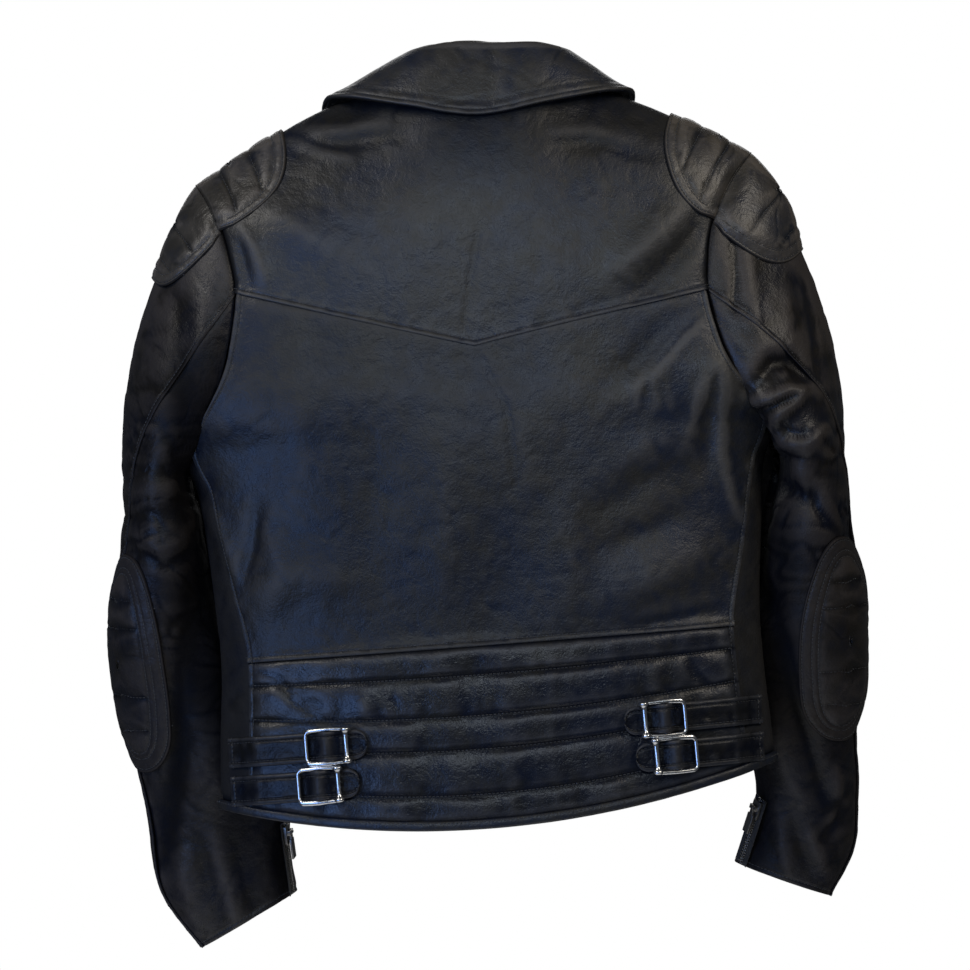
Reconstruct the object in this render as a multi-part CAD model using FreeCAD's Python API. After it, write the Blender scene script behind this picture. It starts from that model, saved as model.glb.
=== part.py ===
"""A black leather biker-style jacket, hanging as it does from its own neck loop.

Axes: X runs across the shoulders (+X is the wearer's left), +Y is the wearer's back, +Z is up.
The origin is the middle of the back neck seam. Lengths are in millimetres.
Each leather piece is the space between two offsets of one shared body or sleeve surface.
"""
import FreeCAD, Part
import math
import os

V = FreeCAD.Vector

# Driving dimensions
SHOULDER_HALF = 233.0        # neck middle to the sleeve seam, along X
YOKE_END = -152.5            # height of the yoke seam at the armhole
YOKE_POINT = -199.0          # height of the V of the yoke seam
UNDERARM = -275.0
WAIST_SEAM = -453.0
HEM_MIDDLE = -600.0
HEM_SIDE = -566.0
FRONT_DEPTH = -58.0          # the front is flat along the zip
LEATHER = 2.2
LINING = 1.0
GAP = 0.4                    # air between neighbouring pieces
WAIST_PAD = 8.0              # the quilted waist panel is this thick
PAD = 6.0                    # shoulder and elbow pads
STRAP_WIDTH = 25.0
STRAP_THICK = 2.5
BUCKLE_LENGTH = 38.0
BUCKLE_WIDTH = 30.8
BUCKLE_WIRE = 2.6
BUCKLE_LIFT = 6.0            # middle plane of a buckle above the waist panel
CENTRE_BAR = 2.4
ZIP_CHAIN = 6.0
SLIDER_LENGTH = 16.0
PULL_LENGTH = 26.0
PIN_OUT = 5.1                # a pull's pin above the middle of its chain

# v counts the body's levels: 0 shoulder, 1 yoke seam, 2 underarm, 3 waist seam, 4 hem.
# v, half width, depth at the middle of the back, depth at the back armhole or side, front side
BODY = (
    (0.0, 233, 60, 40, -38), (0.2, 219, 60, 40, -38), (0.4, 210, 60, 40, -38),
    (0.7, 203, 60, 40, -38), (1.0, 201, 60, 40, -38), (1.4, 211, 62, 45, -42),
    (1.6, 221, 64, 44, -40), (1.8, 236, 65, 32, -26), (2.0, 250, 66, 2, -2),
    (2.2, 239, 66, 0, 0), (2.6, 232, 65, 0, 0), (3.0, 228, 64, 0, 0), (4.0, 235, 66, 0, 0),
)
# x, height and depth of the top edge: the back neck seam, then the shoulder seam
SHOULDER_TOP = ((130, 8, 0), (180, -17, 0), (233, -50, 0))
BACK_TOP = ((0, 0, 40), (40, 7, 35), (75, 21, 14), (100, 18, 3)) + SHOULDER_TOP
FRONT_TOP = ((0, -82, -58), (35, -74, -57.5), (58, -42, -45), (70, 0, -24), (80, 18, -10),
             (100, 18, -2)) + SHOULDER_TOP
# The jacket hangs a little crooked: height, sideways shift, fall per unit of X
BODY_LEAN = ((62, -14, 0.0), (10, -3, 0.03), (-50, 1, 0.058), (-90, 6.5, 0.026), (-152, 3.1, 0.008),
             (-268, -3.3, 0.055), (-360, -8.4, 0.066), (-453, -13.5, 0.077), (-590, -21, 0.089),
             (-700, -27, 0.092))
SLEEVE_LEAN = ((-300, -8.5, 0.032), (-364, -10.5, 0.022), (-449, -11.5, 0.03), (-500, -14.5, 0.034),
               (-534, -16, 0.036), (-585, -23.5, 0.05), (-627, -26, 0.065), (-700, -36, 0.079))
# Sleeve rings below the armhole: t, height, outer edge, half width, middle depth, half depth, tilt
SLEEVE = (
    (1, -300, 306, 26, -16, 62, 0), (2, -365, 311.5, 34, -24, 60, 0), (3, -411, 321, 42.5, -32, 54, 0),
    (4, -454, 322, 46.5, -42, 52, 0), (5, -503, 319, 49, -60, 48, 2), (6, -540, 310, 50, -74, 45, 5),
    (7, -590, 306, 51, -92, 42, 8), (8, -637, 300, 50, -106, 40, 14), (9, -677, 272, 44, -118, 38, 25),
)
CUFF = 9.0
# the left forearm lies flatter than the right one: t, share of the half width
FOREARM_SPREAD = ((0, 0), (5, 0), (6, 0.08), (7, 0.17), (8, 0.14), (9, 0.07))
# angle of the back sleeve seam round the sleeve, 0 outside and 90 at the back
SLEEVE_SEAM = {
    1: ((0, 90), (0.5, 72), (1, 48), (2, 32), (3, 22), (9, 20)),
    -1: ((0, 90), (0.5, 58), (1, 26), (2, 18), (3, 16), (9, 16)),
}
FRONT_SEAM_ANGLE = -100.0
SIDES = {"left": 1, "right": -1}
ARMHOLE_ANGLE = 78.8         # the back and front panels stop this far round, clear of the sleeve


def along(rows, t):
    """The values of a table at t, on a smooth curve through its rows."""
    t = min(max(t, min(rows[0][0], rows[-1][0])), max(rows[0][0], rows[-1][0]))
    rising = rows if rows[-1][0] > rows[0][0] else rows[::-1]
    i = 0
    while i < len(rising) - 2 and t > rising[i + 1][0]:
        i += 1
    before, a, b = rising[max(i - 1, 0)], rising[i], rising[i + 1]
    after = rising[min(i + 2, len(rising) - 1)]
    step = b[0] - a[0]
    w = (t - a[0]) / step
    found = []
    for p0, p1, p2, p3 in zip(before[1:], a[1:], b[1:], after[1:]):
        slope1 = (p2 - p0) / (b[0] - before[0]) * step
        slope2 = (p3 - p1) / (after[0] - a[0]) * step
        found.append(
            (2 * w**3 - 3 * w**2 + 1) * p1 + (w**3 - 2 * w**2 + w) * slope1
            + (3 * w**2 - 2 * w**3) * p2 + (w**3 - w**2) * slope2
        )
    return found if len(found) > 1 else found[0]


def mix(a, b, w):
    return a + (b - a) * w


def lean(x, y, z, table=BODY_LEAN):
    shift, tilt = along(table, z)
    return V(x + shift, y, z - tilt * x)


def body(a, v, back=True):
    """A point of the body: a is -1 to 1 across from side to side, v counts the levels down."""
    across = min(abs(a), 1.0)
    half, middle, side_back, side_front = along(BODY, v)
    side = side_back if back else side_front
    middle = middle if back else FRONT_DEPTH
    fall = (1 - across**2.2) ** 0.45 if back else (1 - across**2.2) ** 0.5
    y = side + (middle - side) * fall
    yoke = YOKE_POINT + (YOKE_END - YOKE_POINT) * across if back else mix(-175.0, YOKE_END, across**2)
    hem = mix(HEM_MIDDLE, HEM_SIDE, across**2)
    if v < 1:
        z_top, y_top = along(BACK_TOP if back else FRONT_TOP, across * SHOULDER_HALF)
        z = mix(z_top, yoke, v)
        y = mix(y_top, y, math.sin(math.pi / 2 * v**0.6))
    elif v < 2:
        z = mix(yoke, UNDERARM, v - 1)
    elif v < 3:
        z = mix(UNDERARM, WAIST_SEAM, v - 2)
    else:
        z = mix(WAIST_SEAM, hem, v - 3)
    return lean(a * half, y, z)


def body_ring(angle, v):
    """A point round the body: 0 is the middle of the back, +-90 the sides, +-180 the zip."""
    a = math.copysign(abs(math.sin(math.radians(angle))) ** 0.9, angle)
    return body(a, v, abs(angle) <= 90)


def sleeve_ring(side, angle, t):
    z, outer, half, depth, half_depth, tilt = along(SLEEVE, t)
    half *= 1 + side * along(FOREARM_SPREAD, t)
    turn, tilt = math.radians(angle), math.radians(tilt)
    out = half * math.cos(turn)
    x = outer - half * math.cos(tilt) + out * math.cos(tilt)
    return lean(side * x, depth + half_depth * math.sin(turn), z - out * math.sin(tilt), SLEEVE_LEAN)


def sleeve(side, angle, t):
    """A point of a sleeve: angle goes round it from the outside over the back, t runs down it."""
    if t >= 1:
        return sleeve_ring(side, angle, t)
    angle = (angle + 180) % 360 - 180
    armhole = body(side, abs(angle) / 90, angle > 0)
    turn = math.radians(angle)
    swell = math.sin(math.pi * t) ** 0.8
    bulge = V(side * 22 * max(math.cos(turn), 0), 9 * math.sin(turn), 0) * swell
    return armhole * (1 - t) + sleeve_ring(side, angle, 1) * t + bulge


def across_patch(point, s, t):
    """The unit normal of a patch at (s, t), on the side that the order of s and t gives."""
    e = 1e-3
    ds = point(min(s + e, 1), t) - point(max(s - e, 0), t)
    dt = point(s, min(t + e, 1)) - point(s, max(t - e, 0))
    return ds.cross(dt).normalize()


def body_centre(p):
    return V(p.x * 0.6, 0, min(p.z, 0) - 25)


def sleeve_centre(side):
    def centre(p):
        z, outer, half, depth = along([(-r[1],) + r[1:5] for r in SLEEVE], -p.z)
        return lean(side * (outer - half), depth, z, SLEEVE_LEAN)
    return centre


def smooth_surface(rows):
    """A surface of up to degree 3 that follows a grid of points and ends on its border."""
    def spans(count):
        degree = min(3, count - 1)
        inside = count - degree - 1
        return degree, [degree + 1] + [1] * inside + [degree + 1], list(range(inside + 2))

    degree_u, mults_u, knots_u = spans(len(rows))
    degree_v, mults_v, knots_v = spans(len(rows[0]))
    surface = Part.BSplineSurface()
    surface.buildFromPolesMultsKnots(rows, mults_u, mults_v, knots_u, knots_v, False, False,
                                     degree_u, degree_v)
    return surface.toShape()


def solid_between(point, centre, inner, outer, ns, nt):
    """A closed solid between two offsets of a patch. inner and outer are numbers or f(s, t)."""
    middle = point(0.5, 0.5)
    out = 1 if across_patch(point, 0.5, 0.5).dot(middle - centre(middle)) > 0 else -1

    def sheet(offset):
        rows = []
        for i in range(ns):
            s = i / (ns - 1)
            row = []
            for j in range(nt):
                t = j / (nt - 1)
                d = offset(s, t) if callable(offset) else offset
                row.append(point(s, t) + across_patch(point, s, t) * (out * d))
            rows.append(row)
        return rows

    low, high = sheet(inner), sheet(outer)
    faces = [smooth_surface(low), smooth_surface(high)]
    ends = (lambda g: g[0], lambda g: g[-1], lambda g: [r[0] for r in g], lambda g: [r[-1] for r in g])
    for end in ends:
        faces.append(smooth_surface([end(low), end(high)]))
    shell = Part.Shell(faces)
    shell.sewShape()
    solid = Part.Solid(shell)
    if solid.Volume < 0:
        solid.reverse()
    if not solid.isValid():
        solid.fix(0.01, 0.01, 0.1)
    return solid


def local_box(length, width, height, middle=(0, 0, 0)):
    """A box centred on middle: length along x, width along y, height along z."""
    corner = V(middle[0] - length / 2, middle[1] - width / 2, middle[2] - height / 2)
    return Part.makeBox(length, width, height, corner)


def placed(shape, at, x_dir, z_dir):
    """The shape with its own x along x_dir and its own z along z_dir, moved to at."""
    x = V(x_dir).normalize()
    y = V(z_dir).cross(x).normalize()
    z = x.cross(y)
    matrix = FreeCAD.Matrix(x.x, y.x, z.x, at.x, x.y, y.y, z.y, at.y, x.z, y.z, z.z, at.z, 0, 0, 0, 1)
    moved = shape.copy()
    moved.Placement = FreeCAD.Placement(matrix)
    return moved


# ---- body panels -------------------------------------------------------------------------

def back_side_seam(v):
    """The angle of the seam between the back and the side panel."""
    return along(((1.8, ARMHOLE_ANGLE), (2.0, 75), (2.3, 72), (2.6, 68), (3.0, 62), (4.0, 62)), v)


def across_back(s, v):
    """Back panels run from seam to seam, evenly in angle."""
    return body_ring((2 * s - 1) * back_side_seam(v), v)


def back_yoke():
    def point(s, t):
        a = 2 * s - 1
        return body(math.copysign(abs(a) ** 0.85, a), t**1.6)
    return solid_between(point, body_centre, 0, LEATHER, 19, 9)


def back_panel():
    top, bottom = 1.02, 2.994
    return solid_between(lambda s, t: across_back(s, mix(top, bottom, t)),
                         body_centre, 0, LEATHER, 19, 13)


def waist_panel():
    gap = 0.004
    return solid_between(lambda s, t: across_back(s, 3 + gap + (1 - gap) * t),
                         body_centre, 0, WAIST_PAD, 19, 5)


def side_panel(side):
    def point(s, t):
        v = 2.14 + 1.86 * t
        start, end = back_side_seam(v) + 0.5, 180 - front_side_seam(v) - 1.5
        return body_ring(side * mix(start, end, s), v)
    return solid_between(point, body_centre, 0, LEATHER, 7, 9)


def front_side_seam(v):
    return along(((1.6, ARMHOLE_ANGLE), (2.1, 70), (3.0, 58), (4.0, 58)), v)


def front_panel(side):
    """From the zip to the armhole and the side panel, and from the shoulder to the hem."""
    edge = 9.0

    def point(s, t):
        v = 4 * t**1.35
        top = along(((0, 0), (0.25, 0.16), (0.45, 0.28), (0.6, 0.37), (0.8, 0.65), (1, 1)), s)
        low = math.sin(math.radians(s * front_side_seam(v))) ** 0.9
        start = edge / along(BODY, v)[0]
        a = mix(start, 1, top) if v == 0 else mix(start, 1, mix(top, low, min(v, 1)))
        return body(side * a, v, False)
    return solid_between(point, body_centre, 0, LEATHER, 13, 15)


def hem_binding():
    """The strip that binds the bottom edge all the way round to the zip."""
    height = 8.0

    def point(s, t):
        top = body_ring(mix(-175, 175, s), 4)
        return top - V(0, 0, 0.4 + height * t)
    return solid_between(point, body_centre, -2.0, 4.0, 37, 3)


def body_lining():
    """One bag of lining inside the back, the sides and the fronts."""
    def side_end(v):
        return along(((0, 78), (1.9, 78), (2.2, 89), (4, 89)), v)

    def back(s, t):
        v = 0.14 + 3.82 * t
        return body_ring((2 * s - 1) * side_end(v), v)

    def front(side):
        def point(s, t):
            v = 0.35 + 3.61 * t
            return body_ring(side * mix(176, 180 - side_end(v), s), v)
        return point
    outer = -LEATHER - GAP - 1
    pieces = [solid_between(back, body_centre, outer - LINING, outer, 15, 13)]
    for side in SIDES.values():
        pieces.append(solid_between(front(side), body_centre, outer - LINING, outer, 9, 11))
    return Part.makeCompound(pieces)


def shoulder_pad(side):
    """The quilted pad over the shoulder, from the front to the back of the armhole."""
    def point(s, t):
        w = 2 * s - 1
        reach = 0.36 * math.sqrt(1 - 0.96 * w * w)
        return body(side * (1 - 0.012 - reach * t), 0.45 * abs(w) ** 1.6, w > 0)
    low = LEATHER + GAP
    return solid_between(point, body_centre, low, low + PAD, 11, 5)


# ---- collar ------------------------------------------------------------------------------

# half of each curve, from the middle of the back round to the front: x, y, z
NECK_CURVE = ((0, 0, 38, 1), (1, 40, 31, 9), (2, 66, 10, 23), (3, 64, -24, 6), (4, 50, -44, -36),
              (5, 14, -53, -70))
FOLD_CURVE = ((0, 0, 32, 60), (1, 42, 27, 59), (2, 72, 5, 50), (3, 72, -28, 26), (4, 54, -54, -16),
              (5, 15, -64, -64))
EDGE_CURVE = ((0, 0, 53, 5), (1, 62, 50, 11), (2, 116, 30, 17), (3, 134, -14, 12), (4, 124, -60, -28),
              (5, 88, -75, -104))
COLLAR_THICK = 3.0


def collar_curve(rows, s):
    x, y, z = along(rows, 5 * abs(2 * s - 1))
    return lean(math.copysign(x, 2 * s - 1), y, z)


def collar_stand():
    """The upright band sewn into the neck."""
    def point(s, t):
        low, high = collar_curve(NECK_CURVE, s), collar_curve(FOLD_CURVE, s)
        return low * (1 - t) + high * t * 0.94 + low * t * 0.06
    return solid_between(point, lambda p: V(-8, -10, p.z), -3.4, -0.9, 21, 5)


def collar_fall():
    """The part that folds over and lies on the shoulders."""
    def point(s, t):
        high, low = collar_curve(FOLD_CURVE, s), collar_curve(EDGE_CURVE, s)
        out = V(high.x * 0.12, math.copysign(4, high.y), 0) * math.sin(math.pi * t)
        return high * (1 - t) + low * t + out
    return solid_between(point, lambda p: V(-8, -10, p.z - 40), 0, COLLAR_THICK, 25, 7)


def hanger_loop():
    """A short strap sewn at both ends inside the back neck."""
    outer = Part.makeCylinder(26, 8, V(0, 22, -4), V(0, 1, 0))
    hole = Part.makeCylinder(23.5, 10, V(0, 21, -4), V(0, 1, 0))
    keep = local_box(60, 12, 24, (0, 26, -20))
    return outer.cut(hole).common(keep).translated(V(-2, 0, 0))


# ---- sleeves -----------------------------------------------------------------------------

def sleeve_panel(side, top):
    """One of a sleeve's two long pieces, split at the back seam and at the front seam."""
    def point(s, t):
        along_t = CUFF * t**1.25
        seam = along(SLEEVE_SEAM[side], along_t)
        if top:
            return sleeve(side, mix(FRONT_SEAM_ANGLE + 1, seam - 1, s), along_t)
        return sleeve(side, mix(seam + 1, 360 + FRONT_SEAM_ANGLE - 1, s), along_t)
    clear = 0.012

    def held(s, t):
        return point(s, clear + (1 - clear) * t)
    return solid_between(held, sleeve_centre(side), 0, LEATHER, 13, 21)


def sleeve_lining(side):
    outer = -LEATHER - GAP

    def half(start, end):
        def point(s, t):
            return sleeve(side, mix(start, end, s), mix(1.05, CUFF - 0.1, t))
        return solid_between(point, sleeve_centre(side), outer - LINING, outer, 13, 19)
    return Part.makeCompound([half(-88, 88), half(92, 268)])


def sleeve_pad(side):
    """The quilted pad on the sleeve head, which carries on from the shoulder pad."""
    def point(s, t):
        w = 2 * s - 1
        reach = 0.36 * math.sqrt(1 - 0.97 * w**4)
        return sleeve(side, 44 * w, 0.02 + reach * t)
    low = LEATHER + GAP
    return solid_between(point, sleeve_centre(side), low, low + PAD, 11, 5)


def elbow_pad(side):
    """An oval quilted pad, lengthwise on the outside and back of the elbow."""
    top, bottom, middle_angle, half_angle = 2.05, 6.35, 38.0, 62.0

    def point(s, t):
        w = 2 * t - 1
        reach = half_angle * math.sqrt(1 - 0.95 * w * w)
        return sleeve(side, middle_angle + reach * (2 * s - 1), mix(top, bottom, t))
    low = LEATHER + 1.6
    return solid_between(point, sleeve_centre(side), low, low + PAD, 13, 17)


# ---- waist straps and buckles --------------------------------------------------------------

STRAPS = {"upper": (-527.2, 141.0), "lower": (-559.2, 149.0)}   # height, buckle from the middle
STRAP_START = 224.0
STRAP_PAST_BUCKLE = 33.0


def waist_point(side, x, z):
    """The body surface at the back waist, at a place given before the lean."""
    v = 3 + (z - WAIST_SEAM) / (HEM_MIDDLE - WAIST_SEAM)
    for _ in range(3):
        a = x / along(BODY, v)[0]
        v = 3 + (z - WAIST_SEAM) / (mix(HEM_MIDDLE, HEM_SIDE, a * a) - WAIST_SEAM)
    return body(side * min(a, 1), v)


def strap_lift(x, buckle):
    """How far a strap's underside stands off the body, with the hump over the centre bar."""
    rest = WAIST_PAD + 0.5
    if x > 214:
        rest = mix(rest, LEATHER + 1.2, (x - 214) / 10)
    hump = math.exp(-(((x - buckle) / 6.5) ** 2)) * (BUCKLE_LIFT + 2.9)
    return rest + hump


def waist_strap(side, level):
    z, buckle = STRAPS[level]

    def point(s, t):
        x = mix(buckle - STRAP_PAST_BUCKLE, STRAP_START, s)
        return waist_point(side, x, z + STRAP_WIDTH * (t - 0.5))

    def lift(s, t):
        return strap_lift(mix(buckle - STRAP_PAST_BUCKLE, STRAP_START, s), buckle)
    return solid_between(point, body_centre, lift, lambda s, t: lift(s, t) + STRAP_THICK, 41, 3)


def buckle_frame_at(side, level):
    """Where a buckle is: its centre, the direction of its strap and its outward direction."""
    z, x = STRAPS[level]
    p = waist_point(side, x, z)
    along_strap = (waist_point(side, x + 8, z) - waist_point(side, x - 8, z)).normalize()
    up = (waist_point(side, x, z + 8) - waist_point(side, x, z - 8)).normalize()
    out = along_strap.cross(up).normalize()
    out = out if out.y > 0 else out * -1
    return p + out * (WAIST_PAD + BUCKLE_LIFT), along_strap, out


def buckle(side, level):
    """A wire frame with a bar across its middle, which turns a little on that bar."""
    at, along_strap, out = buckle_frame_at(side, level)
    wire = BUCKLE_WIRE
    ring = local_box(BUCKLE_LENGTH, BUCKLE_WIDTH, wire)
    ring = ring.makeFillet(6.0, [e for e in ring.Edges if abs(e.Vertexes[0].Z - e.Vertexes[1].Z) > 1])
    hole = local_box(BUCKLE_LENGTH - 2 * wire, BUCKLE_WIDTH - 2 * wire, 2 * wire)
    hole = hole.makeFillet(3.2, [e for e in hole.Edges if abs(e.Vertexes[0].Z - e.Vertexes[1].Z) > 1])
    frame = ring.cut(hole)
    bar_length = BUCKLE_WIDTH - 2 * wire + 2
    bar = Part.makeCylinder(CENTRE_BAR / 2, bar_length, V(0, -bar_length / 2, 0), V(0, 1, 0))
    return placed(frame.fuse(bar).removeSplitter(), at, along_strap, out)


def anchor_tab(side, level):
    """The leather tab sewn to the waist panel, looped round a buckle's centre bar."""
    at, along_strap, out = buckle_frame_at(side, level)
    width = 20.0
    bore = CENTRE_BAR / 2 + 0.3
    loop = Part.makeCylinder(bore + 1.0, width, V(0, -width / 2, 0), V(0, 1, 0))
    foot = local_box(9, width, 1.4, (0, 0, -BUCKLE_LIFT + 1.0))
    neck = local_box(1.6, width, BUCKLE_LIFT - 1.2, (0, 0, -BUCKLE_LIFT / 2 - 0.4))
    tab = loop.fuse(foot).fuse(neck)
    tab = tab.cut(Part.makeCylinder(bore, width + 4, V(0, -width / 2 - 2, 0), V(0, 1, 0)))
    return placed(tab, at, along_strap, out)


# ---- zips ----------------------------------------------------------------------------------

def front_zip_line():
    """Top, direction down and outward direction of the front zip's chain."""
    top = V(along(BODY_LEAN, -90)[0], FRONT_DEPTH - 0.4, -90)
    bottom = V(along(BODY_LEAN, -590)[0], FRONT_DEPTH - 0.4, -590)
    return top, (bottom - top).normalize(), V(0, -1, 0), (bottom - top).Length


def cuff_zip_line(side):
    """On the inner back of the forearm, from its upper end to the cuff."""
    angle, first, last = 150, 7.35, 8.93
    top, bottom = sleeve(side, angle, first), sleeve(side, angle, last)
    centre = sleeve_centre(side)
    out = (top - centre(top)).normalize() + (bottom - centre(bottom)).normalize()
    down = (bottom - top).normalize()
    out = (out - down * out.dot(down)).normalize()
    bulge = max((sleeve(side, angle, mix(first, last, w / 8)) - top).dot(out) for w in range(9))
    lift = bulge + LEATHER + 3.2
    return top + out * lift, down, out, (bottom - top).Length


def pocket_zip_line(side):
    """A slanted hand pocket on the front, low on each side of the front zip."""
    top = lean(side * 128, FRONT_DEPTH - LEATHER - 2.4, -345)
    bottom = lean(side * 82, FRONT_DEPTH - LEATHER - 2.4, -455)
    return top, (bottom - top).normalize(), V(0, -1, 0), (bottom - top).Length


def zip_chain(line, width=ZIP_CHAIN):
    top, down, out, length = line
    shape = local_box(width, 2.4, length, (0, 0, length / 2))
    return placed(shape, top, out.cross(down), down)


def zip_tape(line, reach, behind):
    """The two woven tapes, one each side of the chain."""
    top, down, out, length = line
    tapes = []
    for sign in (1, -1):
        middle = sign * (ZIP_CHAIN / 2 + 0.2 + reach / 2)
        tape = local_box(reach, 0.8, length, (middle, -behind, length / 2))
        tapes.append(placed(tape, top, out.cross(down), down))
    return Part.makeCompound(tapes)


def slider_at(line):
    """A slider's place at rest: near the upper end of its zip."""
    top, down, out, _ = line
    return top + down * (SLIDER_LENGTH / 2 + 3)


def zip_slider(line, width=11.0):
    """A channel that rides over the chain, with a bridge that holds the pull."""
    _, down, out, _ = line
    side_dir = out.cross(down)
    plate = local_box(width, 2.6, SLIDER_LENGTH, (0, 1.4, 0))
    channel = local_box(ZIP_CHAIN + 0.8, 3.0, SLIDER_LENGTH + 4, (0, -0.1, 0))
    sides = [local_box(1.6, 3.7, 4.0, (x, PIN_OUT - 0.8, -2)) for x in (-3.4, 3.4)]
    pin = Part.makeCylinder(0.9, 8.0, V(-4.0, PIN_OUT, -2), V(1, 0, 0))
    shape = plate.cut(channel).fuse(sides[0]).fuse(sides[1]).fuse(pin)
    return placed(shape, slider_at(line), side_dir, down)


def zip_pull(line):
    """A tab that hangs from the slider's bridge."""
    _, down, out, _ = line
    tab = local_box(4.4, 1.6, PULL_LENGTH - 1, (0, PIN_OUT, PULL_LENGTH / 2 - 1.5))
    broad = local_box(8.0, 1.6, PULL_LENGTH - 8, (0, PIN_OUT, PULL_LENGTH / 2 + 2))
    eye = Part.makeCylinder(2.0, 4.4, V(-2.2, PIN_OUT, 0), V(1, 0, 0))
    hole = Part.makeCylinder(0.98, 8, V(-4, PIN_OUT, 0), V(1, 0, 0))
    shape = tab.fuse(broad).fuse(eye).cut(hole)
    at = slider_at(line) - down * 2
    return placed(shape, at, out.cross(down), down)


def parts():
    made = {
        "back_yoke": back_yoke(), "back_panel": back_panel(), "waist_panel": waist_panel(),
        "hem_binding": hem_binding(), "body_lining": body_lining(),
        "collar_stand": collar_stand(), "collar_fall": collar_fall(), "hanger_loop": hanger_loop(),
    }
    for name, side in SIDES.items():
        made[f"side_panel_{name}"] = side_panel(side)
        made[f"front_panel_{name}"] = front_panel(side)
        made[f"shoulder_pad_{name}"] = shoulder_pad(side)
        made[f"sleeve_top_{name}"] = sleeve_panel(side, True)
        made[f"sleeve_under_{name}"] = sleeve_panel(side, False)
        made[f"sleeve_lining_{name}"] = sleeve_lining(side)
        made[f"sleeve_pad_{name}"] = sleeve_pad(side)
        made[f"elbow_pad_{name}"] = elbow_pad(side)
        for level in STRAPS:
            made[f"waist_strap_{name}_{level}"] = waist_strap(side, level)
            made[f"buckle_{name}_{level}"] = buckle(side, level)
    tabs = [anchor_tab(side, level) for side in SIDES.values() for level in STRAPS]
    made["buckle_anchor_tabs"] = Part.makeCompound(tabs)
    for name, line in zip_lines().items():
        made[f"{name}_chain"] = zip_chain(line)
        made[f"{name}_tape"] = zip_tape(line, *((17, 1.4) if name == "front_zip" else (6, 0.8)))
        made[f"{name}_slider"] = zip_slider(line)
        made[f"{name}_pull"] = zip_pull(line)
    return made


def zip_lines():
    lines = {"front_zip": front_zip_line()}
    for name, side in SIDES.items():
        lines[f"cuff_zip_{name}"] = cuff_zip_line(side)
        lines[f"pocket_zip_{name}"] = pocket_zip_line(side)
    return lines


def main():
    os.makedirs("parts", exist_ok=True)
    for name, shape in parts().items():
        shape.exportStep(f"parts/{name}.step")
        print(name, round(shape.Volume / 1000, 1), "cm3", shape.isValid())


if __name__ == "__main__":
    main()
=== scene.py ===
"""The looks of a black leather biker jacket that hangs from its neck loop, seen from behind.

Axes as in the frame: +X is the wearer's left, +Y is the wearer's back, +Z is up. Shapes are worked out in
millimetres and written to the meshes in metres.
"""
import itertools
import math

import bpy
import numpy as np
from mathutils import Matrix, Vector

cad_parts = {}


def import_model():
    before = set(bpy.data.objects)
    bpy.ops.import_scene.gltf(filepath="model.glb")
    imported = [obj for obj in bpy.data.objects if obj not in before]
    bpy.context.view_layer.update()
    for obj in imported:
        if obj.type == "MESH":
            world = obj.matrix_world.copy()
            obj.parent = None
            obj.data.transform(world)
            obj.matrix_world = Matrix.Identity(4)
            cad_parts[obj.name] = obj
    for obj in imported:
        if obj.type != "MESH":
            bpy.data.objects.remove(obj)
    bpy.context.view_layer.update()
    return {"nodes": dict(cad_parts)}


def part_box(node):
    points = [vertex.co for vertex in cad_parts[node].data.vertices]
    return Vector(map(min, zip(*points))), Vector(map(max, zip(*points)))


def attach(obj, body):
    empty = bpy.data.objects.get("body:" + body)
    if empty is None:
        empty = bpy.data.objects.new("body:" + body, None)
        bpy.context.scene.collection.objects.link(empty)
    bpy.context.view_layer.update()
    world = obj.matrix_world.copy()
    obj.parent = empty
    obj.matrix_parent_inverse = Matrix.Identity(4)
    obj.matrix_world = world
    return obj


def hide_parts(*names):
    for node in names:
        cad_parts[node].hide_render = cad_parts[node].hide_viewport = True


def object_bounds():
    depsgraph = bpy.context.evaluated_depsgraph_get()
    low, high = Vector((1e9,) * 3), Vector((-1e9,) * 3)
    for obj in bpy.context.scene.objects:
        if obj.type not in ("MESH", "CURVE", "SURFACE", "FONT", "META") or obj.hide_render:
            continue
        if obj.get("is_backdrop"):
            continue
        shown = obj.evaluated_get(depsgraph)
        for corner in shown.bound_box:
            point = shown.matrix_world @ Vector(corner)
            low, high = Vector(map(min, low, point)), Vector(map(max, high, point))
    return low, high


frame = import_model()

MM = 0.001
SIDES = {"left": 1, "right": -1}

# ---- the shape that the leather follows ------------------------------------------------------

SHOULDER_HALF = 233.0
YOKE_END, YOKE_POINT = -152.5, -199.0
UNDERARM, WAIST_SEAM = -275.0, -453.0
HEM_MIDDLE, HEM_SIDE = -600.0, -566.0
FRONT_DEPTH = -58.0
WAIST_PAD = 8.0
LEATHER = 2.2
# v counts the levels: 0 shoulder, 1 yoke seam, 2 underarm, 3 waist seam, 4 hem.
# v, half width, depth at the middle of the back, depth at the back armhole or side, front side
BODY = (
    (0.0, 233, 60, 40, -38), (0.2, 219, 60, 40, -38), (0.4, 210, 60, 40, -38),
    (0.7, 203, 60, 40, -38), (1.0, 201, 60, 40, -38), (1.4, 211, 62, 45, -42),
    (1.6, 221, 64, 44, -40), (1.8, 236, 65, 32, -26), (2.0, 250, 66, 2, -2),
    (2.2, 239, 66, 0, 0), (2.6, 232, 65, 0, 0), (3.0, 228, 64, 0, 0), (4.0, 235, 66, 0, 0),
)
SHOULDER_TOP = ((130, 8, 0), (180, -17, 0), (233, -50, 0))
BACK_TOP = ((-40, 7, 35), (0, 0, 40), (40, 7, 35), (75, 21, 14), (100, 18, 3)) + SHOULDER_TOP
FRONT_TOP = ((-35, -74, -57.5), (0, -82, -58), (35, -74, -57.5), (58, -42, -45), (70, 0, -24), (80, 18, -10),
             (100, 18, -2)) + SHOULDER_TOP
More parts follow.
